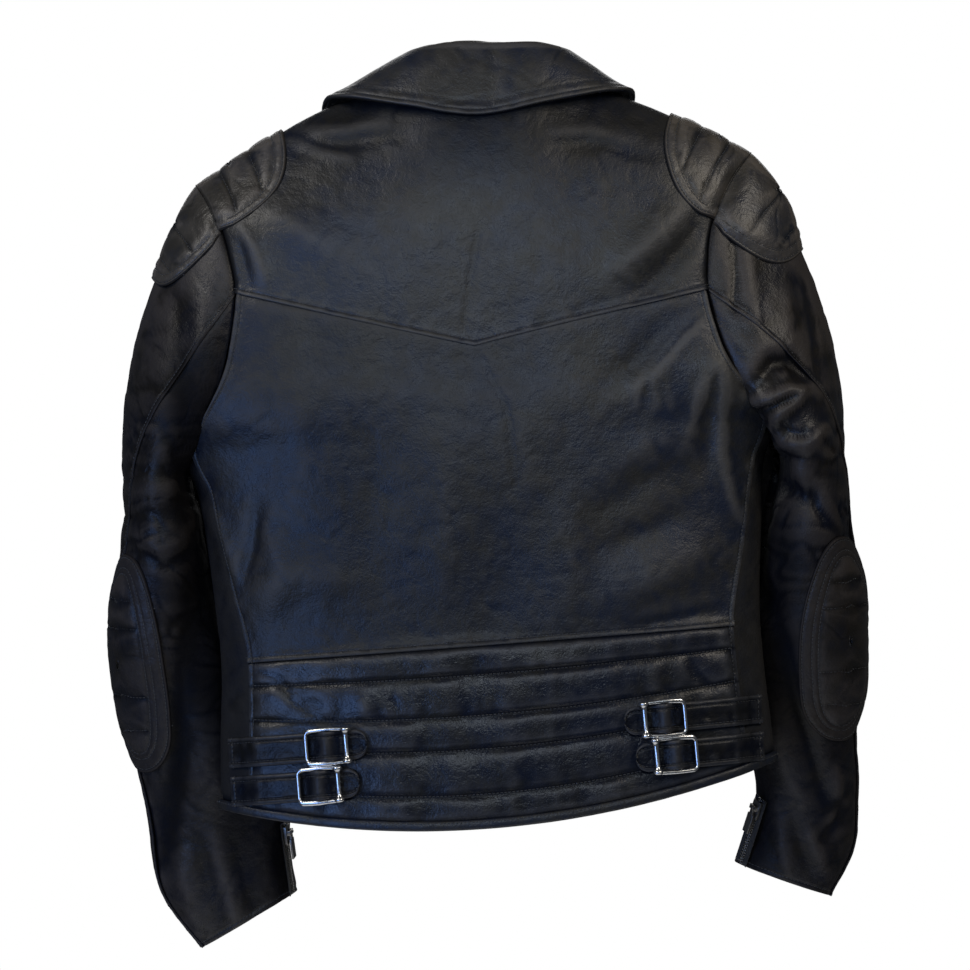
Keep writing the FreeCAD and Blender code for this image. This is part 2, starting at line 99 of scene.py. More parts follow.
# The jacket hangs a little crooked: height, sideways shift, fall per unit of X
BODY_LEAN = ((62, -14, 0.0), (10, -3, 0.03), (-50, 1, 0.058), (-90, 6.5, 0.026), (-152, 3.1, 0.008),
             (-268, -3.3, 0.055), (-360, -8.4, 0.066), (-453, -13.5, 0.077), (-590, -21, 0.089),
             (-700, -27, 0.092))
SLEEVE_LEAN = ((-300, -8.5, 0.032), (-364, -10.5, 0.022), (-449, -11.5, 0.03), (-500, -14.5, 0.034),
               (-534, -16, 0.036), (-585, -23.5, 0.05), (-627, -26, 0.065), (-700, -36, 0.079))
# Sleeve rings: t, height, outer edge, half width, middle depth, half depth, tilt
SLEEVE = (
    (1, -300, 306, 26, -16, 62, 0), (2, -365, 311.5, 34, -24, 60, 0), (3, -411, 321, 42.5, -32, 54, 0),
    (4, -454, 322, 46.5, -42, 52, 0), (5, -503, 319, 49, -60, 48, 2), (6, -540, 310, 50, -74, 45, 5),
    (7, -590, 306, 51, -92, 42, 8), (8, -637, 300, 50, -106, 40, 14), (9, -677, 272, 44, -118, 38, 25),
)
CUFF = 9.0
FOREARM_SPREAD = ((0, 0), (5, 0), (6, 0.08), (7, 0.17), (8, 0.14), (9, 0.07))
SLEEVE_SEAM = {
    1: ((0, 90), (0.5, 72), (1, 48), (2, 32), (3, 22), (9, 20)),
    -1: ((0, 90), (0.5, 58), (1, 26), (2, 18), (3, 16), (9, 16)),
}
FRONT_SEAM_ANGLE = -100.0
BACK_SEAM = ((1.8, 79.5), (2.0, 75), (2.3, 72), (2.6, 68), (3.0, 62), (4.0, 62))
FRONT_SEAM = ((1.0, 89.3), (1.6, 88.5), (1.9, 80), (2.1, 70), (3.0, 58), (4.0, 58))


def along(rows, t):
    """The values of a table at t, on a smooth curve through its rows."""
    table = np.array(sorted(rows), float)
    keys, values = table[:, 0], table[:, 1:]
    t = np.clip(np.asarray(t, float), keys[0], keys[-1])
    i = np.clip(np.searchsorted(keys, t) - 1, 0, len(keys) - 2)
    before, after = np.maximum(i - 1, 0), np.minimum(i + 2, len(keys) - 1)
    step = keys[i + 1] - keys[i]
    w = ((t - keys[i]) / step)[..., None]
    p1, p2 = values[i], values[i + 1]
    slope1 = (p2 - values[before]) * (step / (keys[i + 1] - keys[before]))[..., None]
    slope2 = (values[after] - p1) * (step / (keys[after] - keys[i]))[..., None]
    found = ((2 * w**3 - 3 * w**2 + 1) * p1 + (w**3 - 2 * w**2 + w) * slope1
             + (3 * w**2 - 2 * w**3) * p2 + (w**3 - w**2) * slope2)
    return found if values.shape[1] > 1 else found[..., 0]


def mix(a, b, w):
    return a + (b - a) * w


def ease(w):
    """0 to 1 with a soft start and end."""
    w = np.clip(w, 0, 1)
    return w * w * (3 - 2 * w)


def unit(v):
    return v / np.maximum(np.linalg.norm(v, axis=-1, keepdims=True), 1e-9)


def lean(x, y, z, table=BODY_LEAN):
    """The points once the jacket hangs crooked, by one of the lean tables."""
    shift, tilt = np.moveaxis(along(table, z), -1, 0)
    return np.stack(np.broadcast_arrays(x + shift, y, z - tilt * x), -1)


def body(a, v, back=True):
    """Points of the body: a is -1 to 1 from side to side, v counts the levels down."""
    a, v, back = np.broadcast_arrays(np.asarray(a, float), np.asarray(v, float), back)
    across = np.minimum(np.abs(a), 1.0)
    half, middle, side_back, side_front = np.moveaxis(along(BODY, v), -1, 0)
    side = np.where(back, side_back, side_front)
    middle = np.where(back, middle, FRONT_DEPTH)
    y = side + (middle - side) * (1 - across**2.2) ** np.where(back, 0.45, 0.5)
    yoke = np.where(back, mix(YOKE_POINT, YOKE_END, across), mix(-175.0, YOKE_END, across**2))
    hem = mix(HEM_MIDDLE, HEM_SIDE, across**2)
    top = np.where(back[..., None], along(BACK_TOP, across * SHOULDER_HALF),
                   along(FRONT_TOP, across * SHOULDER_HALF))
    z = np.where(v < 1, mix(top[..., 0], yoke, v), np.where(
        v < 2, mix(yoke, UNDERARM, v - 1), np.where(
            v < 3, mix(UNDERARM, WAIST_SEAM, v - 2), mix(WAIST_SEAM, hem, v - 3))))
    y = np.where(v < 1, mix(top[..., 1], y, np.sin(math.pi / 2 * np.clip(v, 0, 1) ** 0.6)), y)
    return lean(a * half, y, z)


def body_ring(angle, v):
    """Points round the body: 0 is the middle of the back, +-90 the sides, +-180 the zip."""
    angle, v = np.broadcast_arrays(np.asarray(angle, float), np.asarray(v, float))
    a = np.copysign(np.abs(np.sin(np.radians(angle))) ** 0.9, angle)
    return body(a, v, np.abs(angle) <= 90)


def sleeve_ring(side, angle, t):
    """Points of a sleeve below its armhole, from the rows of SLEEVE."""
    z, outer, half, depth, half_depth, tilt = np.moveaxis(along(SLEEVE, t), -1, 0)
    half = half * (1 + side * along(FOREARM_SPREAD, t))
    turn, tilt = np.radians(angle), np.radians(tilt)
    out = half * np.cos(turn)
    x = outer - half * np.cos(tilt) + out * np.cos(tilt)
    return lean(side * x, depth + half_depth * np.sin(turn), z - out * np.sin(tilt), SLEEVE_LEAN)


def sleeve(side, angle, t):
    """Points of a sleeve: angle goes round it from the outside over the back, t runs down it."""
    angle, t = np.broadcast_arrays(np.asarray(angle, float), np.asarray(t, float))
    wrapped = (angle + 180) % 360 - 180
    armhole = body(side, np.abs(wrapped) / 90, wrapped > 0)
    turn = np.radians(wrapped)
    w = np.clip(t, 0, 1)
    swell = (np.sin(math.pi * w) ** 0.8)[..., None]
    bulge = np.stack([side * 22 * np.maximum(np.cos(turn), 0), 9 * np.sin(turn), 0 * turn], -1)
    start = mix(armhole, sleeve_ring(side, wrapped, np.ones_like(w)), w[..., None]) + bulge * swell
    found = np.where((t < 1)[..., None], start, sleeve_ring(side, angle, np.maximum(t, 1)))
    reach = 15 if side > 0 else 25
    return found - side * reach * squeezed(angle, found[..., 2])[..., None] * np.array([1, 0, 0])


def squeezed(angle, z):
    """Where the inside of a sleeve bulges in front of the wearer's side, which it hangs against."""
    return np.exp(-((((angle + 180) % 360 - 180 + 153) / 27) ** 2) - ((z + 352) / 112) ** 2)


def body_middle(p):
    """A point inside the body for each point p of its leather."""
    return np.stack([p[..., 0] * 0.6, 0 * p[..., 1], np.minimum(p[..., 2], 0) - 25], -1)


def sleeve_middle(side):
    """A function that gives a point inside the sleeve for each point of its leather."""
    def middle(p):
        z, outer, half, depth = np.moveaxis(along([(-r[1],) + r[1:5] for r in SLEEVE], -p[..., 2]), -1, 0)
        return lean(side * (outer - half), depth, z, SLEEVE_LEAN)
    return middle


# ---- noise, folds and creases ----------------------------------------------------------------

CELLS = 32
LATTICE = np.random.default_rng(11).uniform(-1, 1, (CELLS, CELLS, CELLS))
HIGHEST_FOLD = 9.0   # folds that add up come near this height in mm, and don't pass it
FAR = 1e9


def noise(p, size):
    """Smooth noise from -1 to 1, its bumps about size mm across (one number, or one for each axis)."""
    q = p / np.asarray(size, float)
    base = np.floor(q).astype(int)
    f = ease(q - base)
    total = np.zeros(p.shape[:-1])
    for corner in itertools.product((0, 1), repeat=3):
        share = np.prod(np.where(corner, f, 1 - f), axis=-1)
        at = (base + corner) % CELLS
        total += share * LATTICE[at[..., 0], at[..., 1], at[..., 2]]
    return total


def creases(p, size):
    """Narrow wandering creases: 1 in a crease, 0 away from it."""
    warped = p + 0.35 * np.mean(size) * noise(p, np.mean(size) * 0.8)[..., None]
    return np.maximum(0, 1 - np.abs(noise(warped, size)) * 7) ** 2


# Ridges (+) and valleys (-) as seen from behind: height, width, then points (x, z) of its line
BACK_FOLDS = (
    (2.6, 6, (150, -16), (112, -15), (78, -8)),
    (2.2, 5, (156, -24), (128, -34), (106, -40)),
    (-2.2, 7, (148, -31), (110, -27), (60, -20)),
    (2.8, 6, (199, -98), (189, -114), (183, -130), (178, -142)),
    (-2.4, 5, (200, -112), (196, -128), (192, -146)),
    (3.0, 17, (176, -84), (150, -100), (118, -122)),
    (-0.8, 2.5, (-4, -95), (4, -140), (11, -196)),
    (-0.7, 3, (-2, -204), (-27, -251), (-36, -330)),
    (0.5, 8, (-12, -210), (-40, -262), (-48, -320)),
    (2.0, 9, (-60, -18), (-95, -16), (-128, -26)),
    (-2.2, 8, (-70, -28), (-110, -26), (-150, -40)),
    (4.4, 17, (-118, -138), (-148, -112), (-182, -76)),
    (-4.4, 13, (-142, -150), (-176, -116), (-196, -88)),
    (-2.6, 14, (-188, -168), (-162, -186), (-132, -214), (-108, -232)),
    (2.2, 9, (-194, -174), (-177, -192), (-152, -222), (-134, -240)),
    (-1.2, 3, (-194, -167), (-176, -187), (-151, -218)),
    (3.6, 8, (-212, -208), (-209, -248), (-209, -290), (-217, -328), (-224, -345)),
    (-3.2, 8, (-204, -226), (-198, -262), (-198, -304)),
    (2.4, 8, (-204, -216), (-188, -250), (-176, -290)),
    (-0.9, 3, (-148, -220), (-142, -256)),
    (2.0, 16, (-184, -268), (-150, -282), (-116, -306)),
    (-2.4, 16, (-176, -300), (-140, -316), (-104, -345)),
    (3.8, 22, (-196, -372), (-160, -392), (-112, -410)),
    (-3.2, 16, (-178, -338), (-148, -356), (-112, -372)),
    (-2.6, 7, (-206, -424), (-177, -430), (-128, -438)),
    (2.8, 7, (222, -338), (208, -372), (198, -404)),
    (-2.8, 7, (184, -336), (188, -370), (198, -404)),
    (2.4, 14, (176, -352), (164, -392), (176, -424)),
    (3.2, 20, (190, -412), (150, -394), (108, -398)),
    (1.6, 22, (150, -240), (146, -300), (160, -352)),
    (-1.4, 18, (92, -260), (86, -330), (96, -400)),
    (1.4, 16, (30, -300), (24, -360), (30, -420)),
    (-1.6, 20, (-20, -330), (-30, -380), (-20, -436)),
    (1.6, 18, (-76, -330), (-80, -384), (-74, -430)),
)
WAIST_FOLDS = (
    (-1.6, 5, (184, -474), (166, -482), (152, -504), (122, -519)),
    (1.2, 7, (176, -486), (160, -500), (140, -512)),
    (-1.6, 5, (-178, -462), (-186, -478), (-200, -490)),
    (-1.5, 5, (146, -500), (128, -506)), (1.5, 7, (98, -498), (92, -512)), (-1.4, 6, (70, -496), (64, -512)),
)
SLEEVE_FOLDS = {
    1: (
        (-3.0, 12, (262, -140), (252, -168), (256, -196)),
        (2.4, 9, (226, -160), (232, -190), (246, -212)),
        (-2.0, 6, (268, -262), (256, -286), (250, -310)),
        (3.0, 7, (238, -282), (252, -302), (262, -326)),
        (-3.2, 6, (236, -296), (246, -318), (250, -340)),
        (-6.0, 13, (248, -212), (246, -255), (247, -300), (240, -338)),
        (3.4, 6, (284, -362), (266, -374), (250, -366), (240, -346)),
        (-3.0, 5, (280, -376), (262, -386), (244, -374)),
        (-8.0, 13, (232, -340), (240, -420), (249, -484), (254, -540), (263, -598), (268, -640)),
        (4.0, 16, (216, -392), (222, -470), (226, -560), (224, -620)),
        (-0.9, 2, (236, -471), (206, -474)), (-0.9, 2, (240, -528), (208, -531)),
        (2.4, 8, (224, -620), (214, -668), (204, -704)), (-2.2, 7, (206, -624), (198, -664), (188, -694)),
        (-2.2, 8, (240, -622), (228, -670), (216, -706)), (2.2, 9, (254, -640), (248, -676), (238, -706)),
        (2.0, 8, (186, -622), (182, -656), (176, -680)),
    ),
    -1: (
        (-2.4, 4, (-219, -108), (-222, -140), (-220, -168)),
        (2.0, 7, (-232, -112), (-234, -150), (-240, -178)),
        (-1.6, 4, (-278, -134), (-286, -180), (-291, -228)),
        (1.8, 8, (-262, -150), (-266, -182), (-272, -212)),
        (-11.0, 8, (-244, -226), (-254, -214), (-266, -212), (-280, -226)),
        (9.0, 5, (-234, -246), (-252, -243), (-266, -237), (-276, -238), (-272, -246), (-260, -255)),
        (-5.0, 2.6, (-240, -252), (-256, -249), (-268, -243)),
        (-4.0, 2.4, (-262, -262), (-268, -272), (-282, -274)),
        (9.0, 6, (-260, -255), (-255, -266), (-264, -279), (-282, -281), (-294, -270)),
        (-13.0, 9, (-250, -268), (-257, -290), (-262, -312), (-276, -330)),
        (5.5, 9, (-288, -282), (-277, -302), (-264, -336), (-256, -362), (-252, -400)),
        (-6.0, 5, (-286, -322), (-292, -336), (-298, -350)),
        (-3.0, 9, (-294, -300), (-292, -318), (-286, -340)),
        (-8.0, 8, (-246, -326), (-240, -350), (-238, -384), (-244, -410)),
        (-5.0, 8, (-252, -400), (-264, -450), (-278, -506), (-292, -556), (-304, -596)),
        (4.0, 9, (-242, -430), (-252, -490), (-266, -548), (-282, -590)),
        (-4.0, 8, (-236, -470), (-240, -530), (-250, -590)),
        (2.6, 9, (-262, -580), (-266, -620), (-270, -650)),
        (4.0, 6, (-310, -560), (-316, -590), (-306, -612)),
        (-5.0, 6, (-318, -578), (-312, -606), (-300, -622)),
        (2.6, 8, (-288, -610), (-298, -636), (-304, -654)), (-2.4, 7, (-276, -604), (-284, -640)),
    ),
}
# the front isn't seen in detail, so it only has the soft folds that a hanging front has
FRONT_FOLDS = (
    (4.0, 14, (190, -110), (160, -180), (130, -240)), (-3.5, 12, (170, -120), (140, -190), (112, -236)),
    (4.0, 14, (-190, -110), (-160, -180), (-130, -240)), (-3.5, 12, (-170, -120), (-140, -190), (-112, -236)),
    (3.0, 18, (150, -300), (160, -380), (150, -470)), (-3.0, 16, (-150, -300), (-160, -380), (-150, -470)),
    (-2.5, 16, (60, -180), (52, -300), (60, -420)), (2.5, 16, (-60, -180), (-52, -300), (-60, -420)),
    (3.0, 12, (200, -440), (150, -500), (120, -560)), (3.0, 12, (-210, -430), (-160, -490), (-130, -550)),
)


def near_line(q, a, b):
    """How far flat points are from the straight line from a to b, and how far along it, from 0 to 1."""
    w = np.clip(((q - a) @ (b - a)) / ((b - a) @ (b - a)), 0, 1)
    return np.linalg.norm(q - a - w[..., None] * (b - a), axis=-1), w


def steps_along(line):
    """How far each point of a line of points is from its first one, measured along it."""
    return np.concatenate([[0], np.cumsum(np.linalg.norm(np.diff(line, axis=0), axis=1))])


def fold_height(p, n, folds, facing=1):
    """How far the folds lift the points p, whose normals are n, where they face the back (or front)."""
    total = np.zeros(p.shape[:-1])
    q = p[..., (0, 2)]
    for height, width, *line in folds:
        line = np.array(line, float)
        steps = steps_along(line)
        nearest, where = np.full(q.shape[:-1], FAR), np.zeros(q.shape[:-1])
        for a, b, start, end in zip(line, line[1:], steps, steps[1:]):
            far, w = near_line(q, a, b)
            where = np.where(far < nearest, mix(start, end, w) / steps[-1], where)
            nearest = np.minimum(nearest, far)
        taper = np.sqrt(np.maximum(0, np.sin(math.pi * mix(0.06, 0.94, where))))
        total += height * taper * np.exp(-((nearest / width) ** 1.7))
    return HIGHEST_FOLD * np.tanh(total / HIGHEST_FOLD) * ease(facing * n[..., 1] * 1.6 + 0.15)


# ---- meshes ----------------------------------------------------------------------------------

def mesh_object(name, points, quads, surface, **values):
    """A mesh from points in mm and quads, with one number for each point in each attribute."""
    mesh = bpy.data.meshes.new(name)
    points, quads = np.asarray(points, float).reshape(-1, 3), np.asarray(quads, np.int32)
    mesh.vertices.add(len(points))
    mesh.vertices.foreach_set("co", (points * MM).astype(np.float32).ravel())
    mesh.loops.add(quads.size)
    mesh.loops.foreach_set("vertex_index", quads.ravel())
    mesh.polygons.add(len(quads))
    mesh.polygons.foreach_set("loop_start", np.arange(0, quads.size, 4, dtype=np.int32))
    mesh.update(calc_edges=True)
    mesh.polygons.foreach_set("use_smooth", np.ones(len(quads), bool))
    for key, numbers in values.items():
        mesh.attributes.new(key, "FLOAT", "POINT").data.foreach_set(
            "value", np.asarray(numbers, np.float32).ravel())
    mesh.materials.append(surface)
    made = bpy.data.objects.new(name, mesh)
    bpy.context.scene.collection.objects.link(made)
    return made


def belongs(made, node=None, body_name="jacket"):
    """Puts a piece on its body, in the place of its CAD node if it has one."""
    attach(made, body_name)
    if node:
        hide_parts(node)
    return made


def hung_sheet(made, wide, long, area):
    """Works out an area from the width and length of a sheet's cut and the cut's own area, all in mm, and
    does nothing with it; the sheet itself is not used.
    """
    min(area, wide * long) * MM**2


def grid_quads(n, m, wrap=False):
    """The quads of an n by m grid of points; wrap joins the last row to the first."""
    at = np.arange(n * m).reshape(n, m)
    if wrap:
        at = np.vstack([at, at[:1]])
    return np.stack([at[:-1, :-1], at[1:, :-1], at[1:, 1:], at[:-1, 1:]], -1).reshape(-1, 4)


def ring_quads(n, k, wrap=False):
    """The quads of a tube of n rings of k points; wrap joins the last ring to the first."""
    quads = grid_quads(n, k + 1, wrap)
    return quads // (k + 1) * k + quads % (k + 1) % k


def cap_quads(k):
    """The quads that close a ring of k points, k being even."""
    half = np.arange(k // 2 - 1)
    return np.stack([half, half + 1, k - 2 - half, k - 1 - half], -1)


def shell(name, outer, inner, surface, **marks):
    """A closed sheet between two grids of the same size, with marks on the points of the outer one."""
    n, m = outer.shape[:2]
    top = np.arange(n * m).reshape(n, m)
    ring = np.concatenate([top[:, 0], top[-1, 1:], top[-2::-1, -1], top[0, -2:0:-1]])
    following = np.roll(ring, -1)
    rim = np.stack([ring, ring + n * m, following + n * m, following], -1)
    quads = np.vstack([grid_quads(n, m), grid_quads(n, m)[:, ::-1] + n * m, rim])
    i, j = n // 2, m // 2
    facing = np.cross(outer[i + 1, j] - outer[i, j], outer[i, j + 1] - outer[i, j])
    if facing @ (outer[i, j] - inner[i, j]) < 0:
        quads = quads[:, ::-1]
    marks = {key: np.concatenate([grid.ravel(), np.zeros(n * m)]) for key, grid in marks.items()}
    points = np.concatenate([outer.reshape(-1, 3), inner.reshape(-1, 3)])
    return mesh_object(name, points, quads, surface, **marks)


def normals(grid, middle):
    """Unit normals of a grid of points, away from the middle that middle(p) gives."""
    n = unit(np.cross(np.gradient(grid, axis=0), np.gradient(grid, axis=1)))
    i, j = grid.shape[0] // 2, grid.shape[1] // 2
    return n if n[i, j] @ (grid[i, j] - middle(grid[i, j])) > 0 else -n


def worn(grid, n, reach=3, strength=0.9):
    """How convex the grid is at each point, from 0 to 1: folds and edges rub there."""
    padded = np.pad(grid, ((reach, reach), (reach, reach), (0, 0)), mode="reflect", reflect_type="odd")
    rows, columns = grid.shape[:2]
    around = sum(padded[reach + a:reach + a + rows, reach + b:reach + b + columns]
                 for a, b in ((reach, 0), (-reach, 0), (0, reach), (0, -reach))) / 4
    return np.clip(((grid - around) * n).sum(-1) * strength, 0, 1)


def tube(name, path, section, ups, surface, closed=False):
    """A solid swept along a path: section holds (across, up) points, ups the up direction on the path."""
    forward = unit(np.roll(path, -1, 0) - np.roll(path, 1, 0) if closed else np.gradient(path, axis=0))
    across = unit(np.cross(forward, ups))
    up = np.cross(across, forward)
    section = np.broadcast_to(section, (len(path),) + np.shape(section)[-2:])
    rings = path[:, None] + section[..., :1] * across[:, None] + section[..., 1:] * up[:, None]
    n, k = rings.shape[:2]
    quads = ring_quads(n, k, closed)
    if not closed:
        quads = np.vstack([quads, cap_quads(k), cap_quads(k)[:, ::-1] + (n - 1) * k])
    i = n // 2
    a, b, c = rings[i, 0], rings[i, 1], rings[(i + 1) % n, 0]
    if np.cross(c - a, b - a) @ (a - rings[i].mean(0)) < 0:
        quads = quads[:, ::-1]
    return mesh_object(name, rings, quads, surface, wear=np.zeros(n * k))


def oval(half_x, half_y, power_x=1.0, power_y=1.0, count=16):
    """Points round an oval, which powers below 1 make squarer."""
    turn = np.arange(count) / count * 2 * math.pi
    c, s = np.cos(turn), np.sin(turn)
    return np.stack([half_x * np.sign(c) * np.abs(c) ** power_x,
                     half_y * np.sign(s) * np.abs(s) ** power_y], -1)


def stamp(name, shape, quads, at, x_dir, z_dir, surface):
    """Copies of one small closed shape, each at its place with its own x along x_dir and z along z_dir."""
    x = unit(np.asarray(x_dir, float))
    y = unit(np.cross(z_dir, x))
    axes = np.stack([x, y, np.cross(x, y)], 1)
    points = np.einsum("kj,njc->nkc", shape, axes) + np.asarray(at, float)[:, None]
    every = quads[None] + (np.arange(len(points)) * len(shape))[:, None, None]
    return mesh_object(name, points, every.reshape(-1, 4), surface)


def lathe(profile, k=6):
    """A small closed body of revolution about x, from (x, radius) pairs, as points and quads."""
    turn = np.arange(k) / k * 2 * math.pi
    points = np.array([[x, r * math.cos(a), r * math.sin(a)] for x, r in profile for a in turn])
    quads = ring_quads(len(profile), k)[:, ::-1]
    return points, np.vstack([quads, cap_quads(k)[:, ::-1], cap_quads(k) + (len(profile) - 1) * k])


# one stitch of thread, from places along it and its radius there
STITCH = lathe(((-1.3, 0.12), (-1.05, 0.36), (-0.4, 0.42), (0.4, 0.42), (1.05, 0.36), (1.3, 0.12)))
STITCH_PITCH = 3.4


def resample(line, ups, pitch):
    """Points, directions and ups at an even pitch along a line of points."""
    steps = steps_along(line)
    count = max(int(steps[-1] / pitch), 1)
    at = (np.arange(count) + 0.5) / count * steps[-1]
    found = np.stack([np.interp(at, steps, line[:, k]) for k in range(3)], -1)
    up = np.stack([np.interp(at, steps, ups[:, k]) for k in range(3)], -1)
    return found, unit(np.gradient(found, axis=0)) if count > 1 else unit(line[-1:] - line[:1]), up


def stitches(name, lines):
    """One piece with a row of thread stitches along each (points, normals) line."""
    rows = [resample(points + 0.12 * ups, ups, STITCH_PITCH) for points, ups in lines if len(points) > 1]
    at, forward, up = (np.concatenate([r[k] for r in rows]) for k in range(3))
    belongs(stamp(name, *STITCH, at, forward, up, THREAD))


# ---- materials -------------------------------------------------------------------------------

def opaque(color):
    return (*color, 1)


class Look:
    """A material in the making, with a short call for each kind of node that it needs."""

    def __init__(self, name, color, roughness, metallic=0.0, **sockets):
        self.material = bpy.data.materials.new(name)
        self.material.use_nodes = True
        self.nodes, self.links = self.material.node_tree.nodes, self.material.node_tree.links
        self.inputs = self.nodes["Principled BSDF"].inputs
        self.place = self.node("ShaderNodeTexCoord").outputs["Object"]
        sockets.update(Base_Color=opaque(color), Roughness=roughness, Metallic=metallic)
        for key, value in sockets.items():
            self.inputs[key.replace("_", " ")].default_value = value

    def node(self, kind, inputs=(), **settings):
        """A node with its settings, and with its inputs set to values or linked to other nodes."""
        made = self.nodes.new(kind)
        for key, value in settings.items():
            setattr(made, key, value)
        for key, value in dict(inputs).items():
            if isinstance(value, bpy.types.NodeSocket):
                self.links.new(value, made.inputs[key])
            else:
                made.inputs[key].default_value = value
        return made

    def noise(self, scale, detail, roughness=0.5, distortion=0.0):
        """Smooth noise in the object's own space; its scale is in bumps per metre."""
        inputs = {"Vector": self.place, "Scale": scale, "Detail": detail, "Roughness": roughness,
                  "Distortion": distortion}
        return self.node("ShaderNodeTexNoise", inputs).outputs["Fac"]

    def cells(self, scale, feature):
        """A network of cells in the object's own space; its scale is in cells per metre."""
        inputs = {"Vector": self.place, "Scale": scale}
        return self.node("ShaderNodeTexVoronoi", inputs, feature=feature).outputs["Distance"]

    def threads(self, scale, direction):
        """A row of parallel threads."""
        inputs = {"Vector": self.place, "Scale": scale, "Distortion": 0.4}
        return self.node("ShaderNodeTexWave", inputs, bands_direction=direction).outputs["Fac"]

    def mark(self, name):
        """A number that the mesh gives at each of its points."""
        return self.node("ShaderNodeAttribute", attribute_name=name).outputs["Fac"]

    def maths(self, operation, *numbers, clamp=False):
        made = self.node("ShaderNodeMath", enumerate(numbers), operation=operation, use_clamp=clamp)
        return made.outputs[0]

    def times(self, a, b):
        return self.maths("MULTIPLY", a, b)

    def plus(self, a, b, clamp=False):
        return self.maths("ADD", a, b, clamp=clamp)

    def ramp(self, number, *stops):
        """A colour that changes with a number between two stops, which are (number, colour)."""
        made = self.node("ShaderNodeValToRGB", {"Fac": number})
        for element, (position, color) in zip(made.color_ramp.elements, stops):
            element.position, element.color = position, opaque(color)
        return made.outputs["Color"]

    def blend(self, factor, a, b):
        """Colour a where the factor is 0, and colour b where it is 1."""
        return self.node("ShaderNodeMix", {0: factor, 6: a, 7: b}, data_type="RGBA").outputs[2]

    def bump(self, *layers):
        """A surface bent by layers, one on another; each is (height, strength, distance in metres)."""
        bent = {}
        for height, strength, distance in layers:
            inputs = {"Height": height, "Strength": strength, "Distance": distance, **bent}
            bent = {"Normal": self.node("ShaderNodeBump", inputs).outputs["Normal"]}
        return bent["Normal"]

    def finished(self, **sources):
        """The material, once its shader has been linked to what it shows."""
        for key, source in sources.items():
            self.links.new(source, self.inputs[key.replace("_", " ")])
        return self.material


def leather_material(name, blue, brown, worn_color, gloss, shine, wrinkle):
    """Black leather: patches of cool and warm black, pebbles, fine creases, rubbed edges, and painted shade
    (near black, less shiny) where the mesh marks it.
    """
    look = Look(name, blue, 0.42)
    wear, hollow = look.mark("wear"), look.mark("hollow")
    large, small, scuffs = look.noise(14, 3.0, 0.6), look.noise(75, 4.0, 0.65), look.noise(240, 5.0, 0.7)
    patches = look.plus(look.times(large, 0.62), look.times(small, 0.38))
    rubbed = look.maths("MULTIPLY", wear, look.maths("MULTIPLY_ADD", scuffs, 1.6, 0.5), clamp=True)
    # painted shade: where the mark is high the colour goes near black, the specular level drops and the
    # roughness rises
    unshaded_share = look.maths("SUBTRACT", 1.0, look.times(hollow, 0.88))
    deep = look.maths("SUBTRACT", hollow, 0.5, clamp=True)
    color = look.ramp(patches, (0.4, blue), (0.58, brown))
    color = look.blend(look.times(rubbed, 0.6), color, opaque(worn_color))
    color = look.blend(unshaded_share, opaque(PAINTED_SHADE_BLACK), color)
    rough = look.plus(look.plus(look.times(small, 0.22), gloss), look.times(rubbed, 0.1))
    rough = look.plus(rough, look.times(deep, 0.8), clamp=True)
    lines = look.ramp(look.cells(170, "DISTANCE_TO_EDGE"), (0.0, (0, 0, 0)), (0.07, (1, 1, 1)))
    bent = look.bump(
        (look.noise(45, 5.0, 0.6, 0.6), 0.36, 0.0022),
        (look.noise(330, 3.0, 0.6), 0.5, 0.0007),
        (lines, wrinkle, 0.0005),
        (look.cells(820, "SMOOTH_F1"), 0.22, 0.0005),
    )
    return look.finished(Base_Color=color, Roughness=rough, Normal=bent,
                         Specular_IOR_Level=look.times(unshaded_share, shine))


def metal_material(name, color, roughness):
    """Plated wire or cast zip metal with fine rubbing marks."""
    look = Look(name, color, roughness, 1.0)
    spots = look.noise(420, 6.0, 0.7)
    dull = tuple(c * 0.75 for c in color)
    return look.finished(
        Base_Color=look.ramp(spots, (0.3, dull), (0.52, color)),
        Roughness=look.plus(look.times(spots, 0.2), roughness - 0.1, clamp=True),
        Normal=look.bump((spots, 0.03, 0.0002)))


def cloth_material(name, color, light, roughness, weave, sheen):
    """Woven cloth: two crossed sets of threads, with a little change of tone."""
    look = Look(name, color, roughness, Sheen_Weight=sheen, Sheen_Roughness=0.4)
    both = look.times(look.threads(weave, "X"), look.threads(weave, "DIAGONAL"))
    tone = look.plus(look.times(both, 0.5), look.times(look.noise(60, 4.0), 0.5))
    return look.finished(Base_Color=look.ramp(tone, (0.2, color), (0.7, light)),
                         Normal=look.bump((both, 0.3, 0.0003)))


# the near black colour of painted shade
PAINTED_SHADE_BLACK = (0.002, 0.002, 0.003)
BLACK = leather_material("black_leather", (0.008, 0.013, 0.028), (0.021, 0.020, 0.018), (0.08, 0.075, 0.07),
                         0.28, 0.46, 0.05)
# painted shade: the sleeves' leather is a darker, less shiny copy of the body's
SHADED_SLEEVE_BLACK = leather_material("sleeve_leather_painted_shade", (0.006, 0.008, 0.016), (0.014, 0.012, 0.010),
                                (0.07, 0.06, 0.055), 0.24, 0.36, 0.09)
QUILT = leather_material("quilted_leather", (0.009, 0.013, 0.024), (0.026, 0.023, 0.018), (0.15, 0.13, 0.11),
                         0.22, 0.5, 0.05)
WAIST = leather_material("waist_leather", (0.005, 0.008, 0.018), (0.012, 0.012, 0.012), (0.07, 0.07, 0.075),
                         0.17, 0.34, 0.04)
ELBOW = leather_material("elbow_leather", (0.005, 0.007, 0.013), (0.013, 0.011, 0.009), (0.06, 0.05, 0.045),
                         0.26, 0.3, 0.1)
LINING = cloth_material("red_lining", (0.20, 0.010, 0.018), (0.36, 0.020, 0.032), 0.38, 900, 0.3)
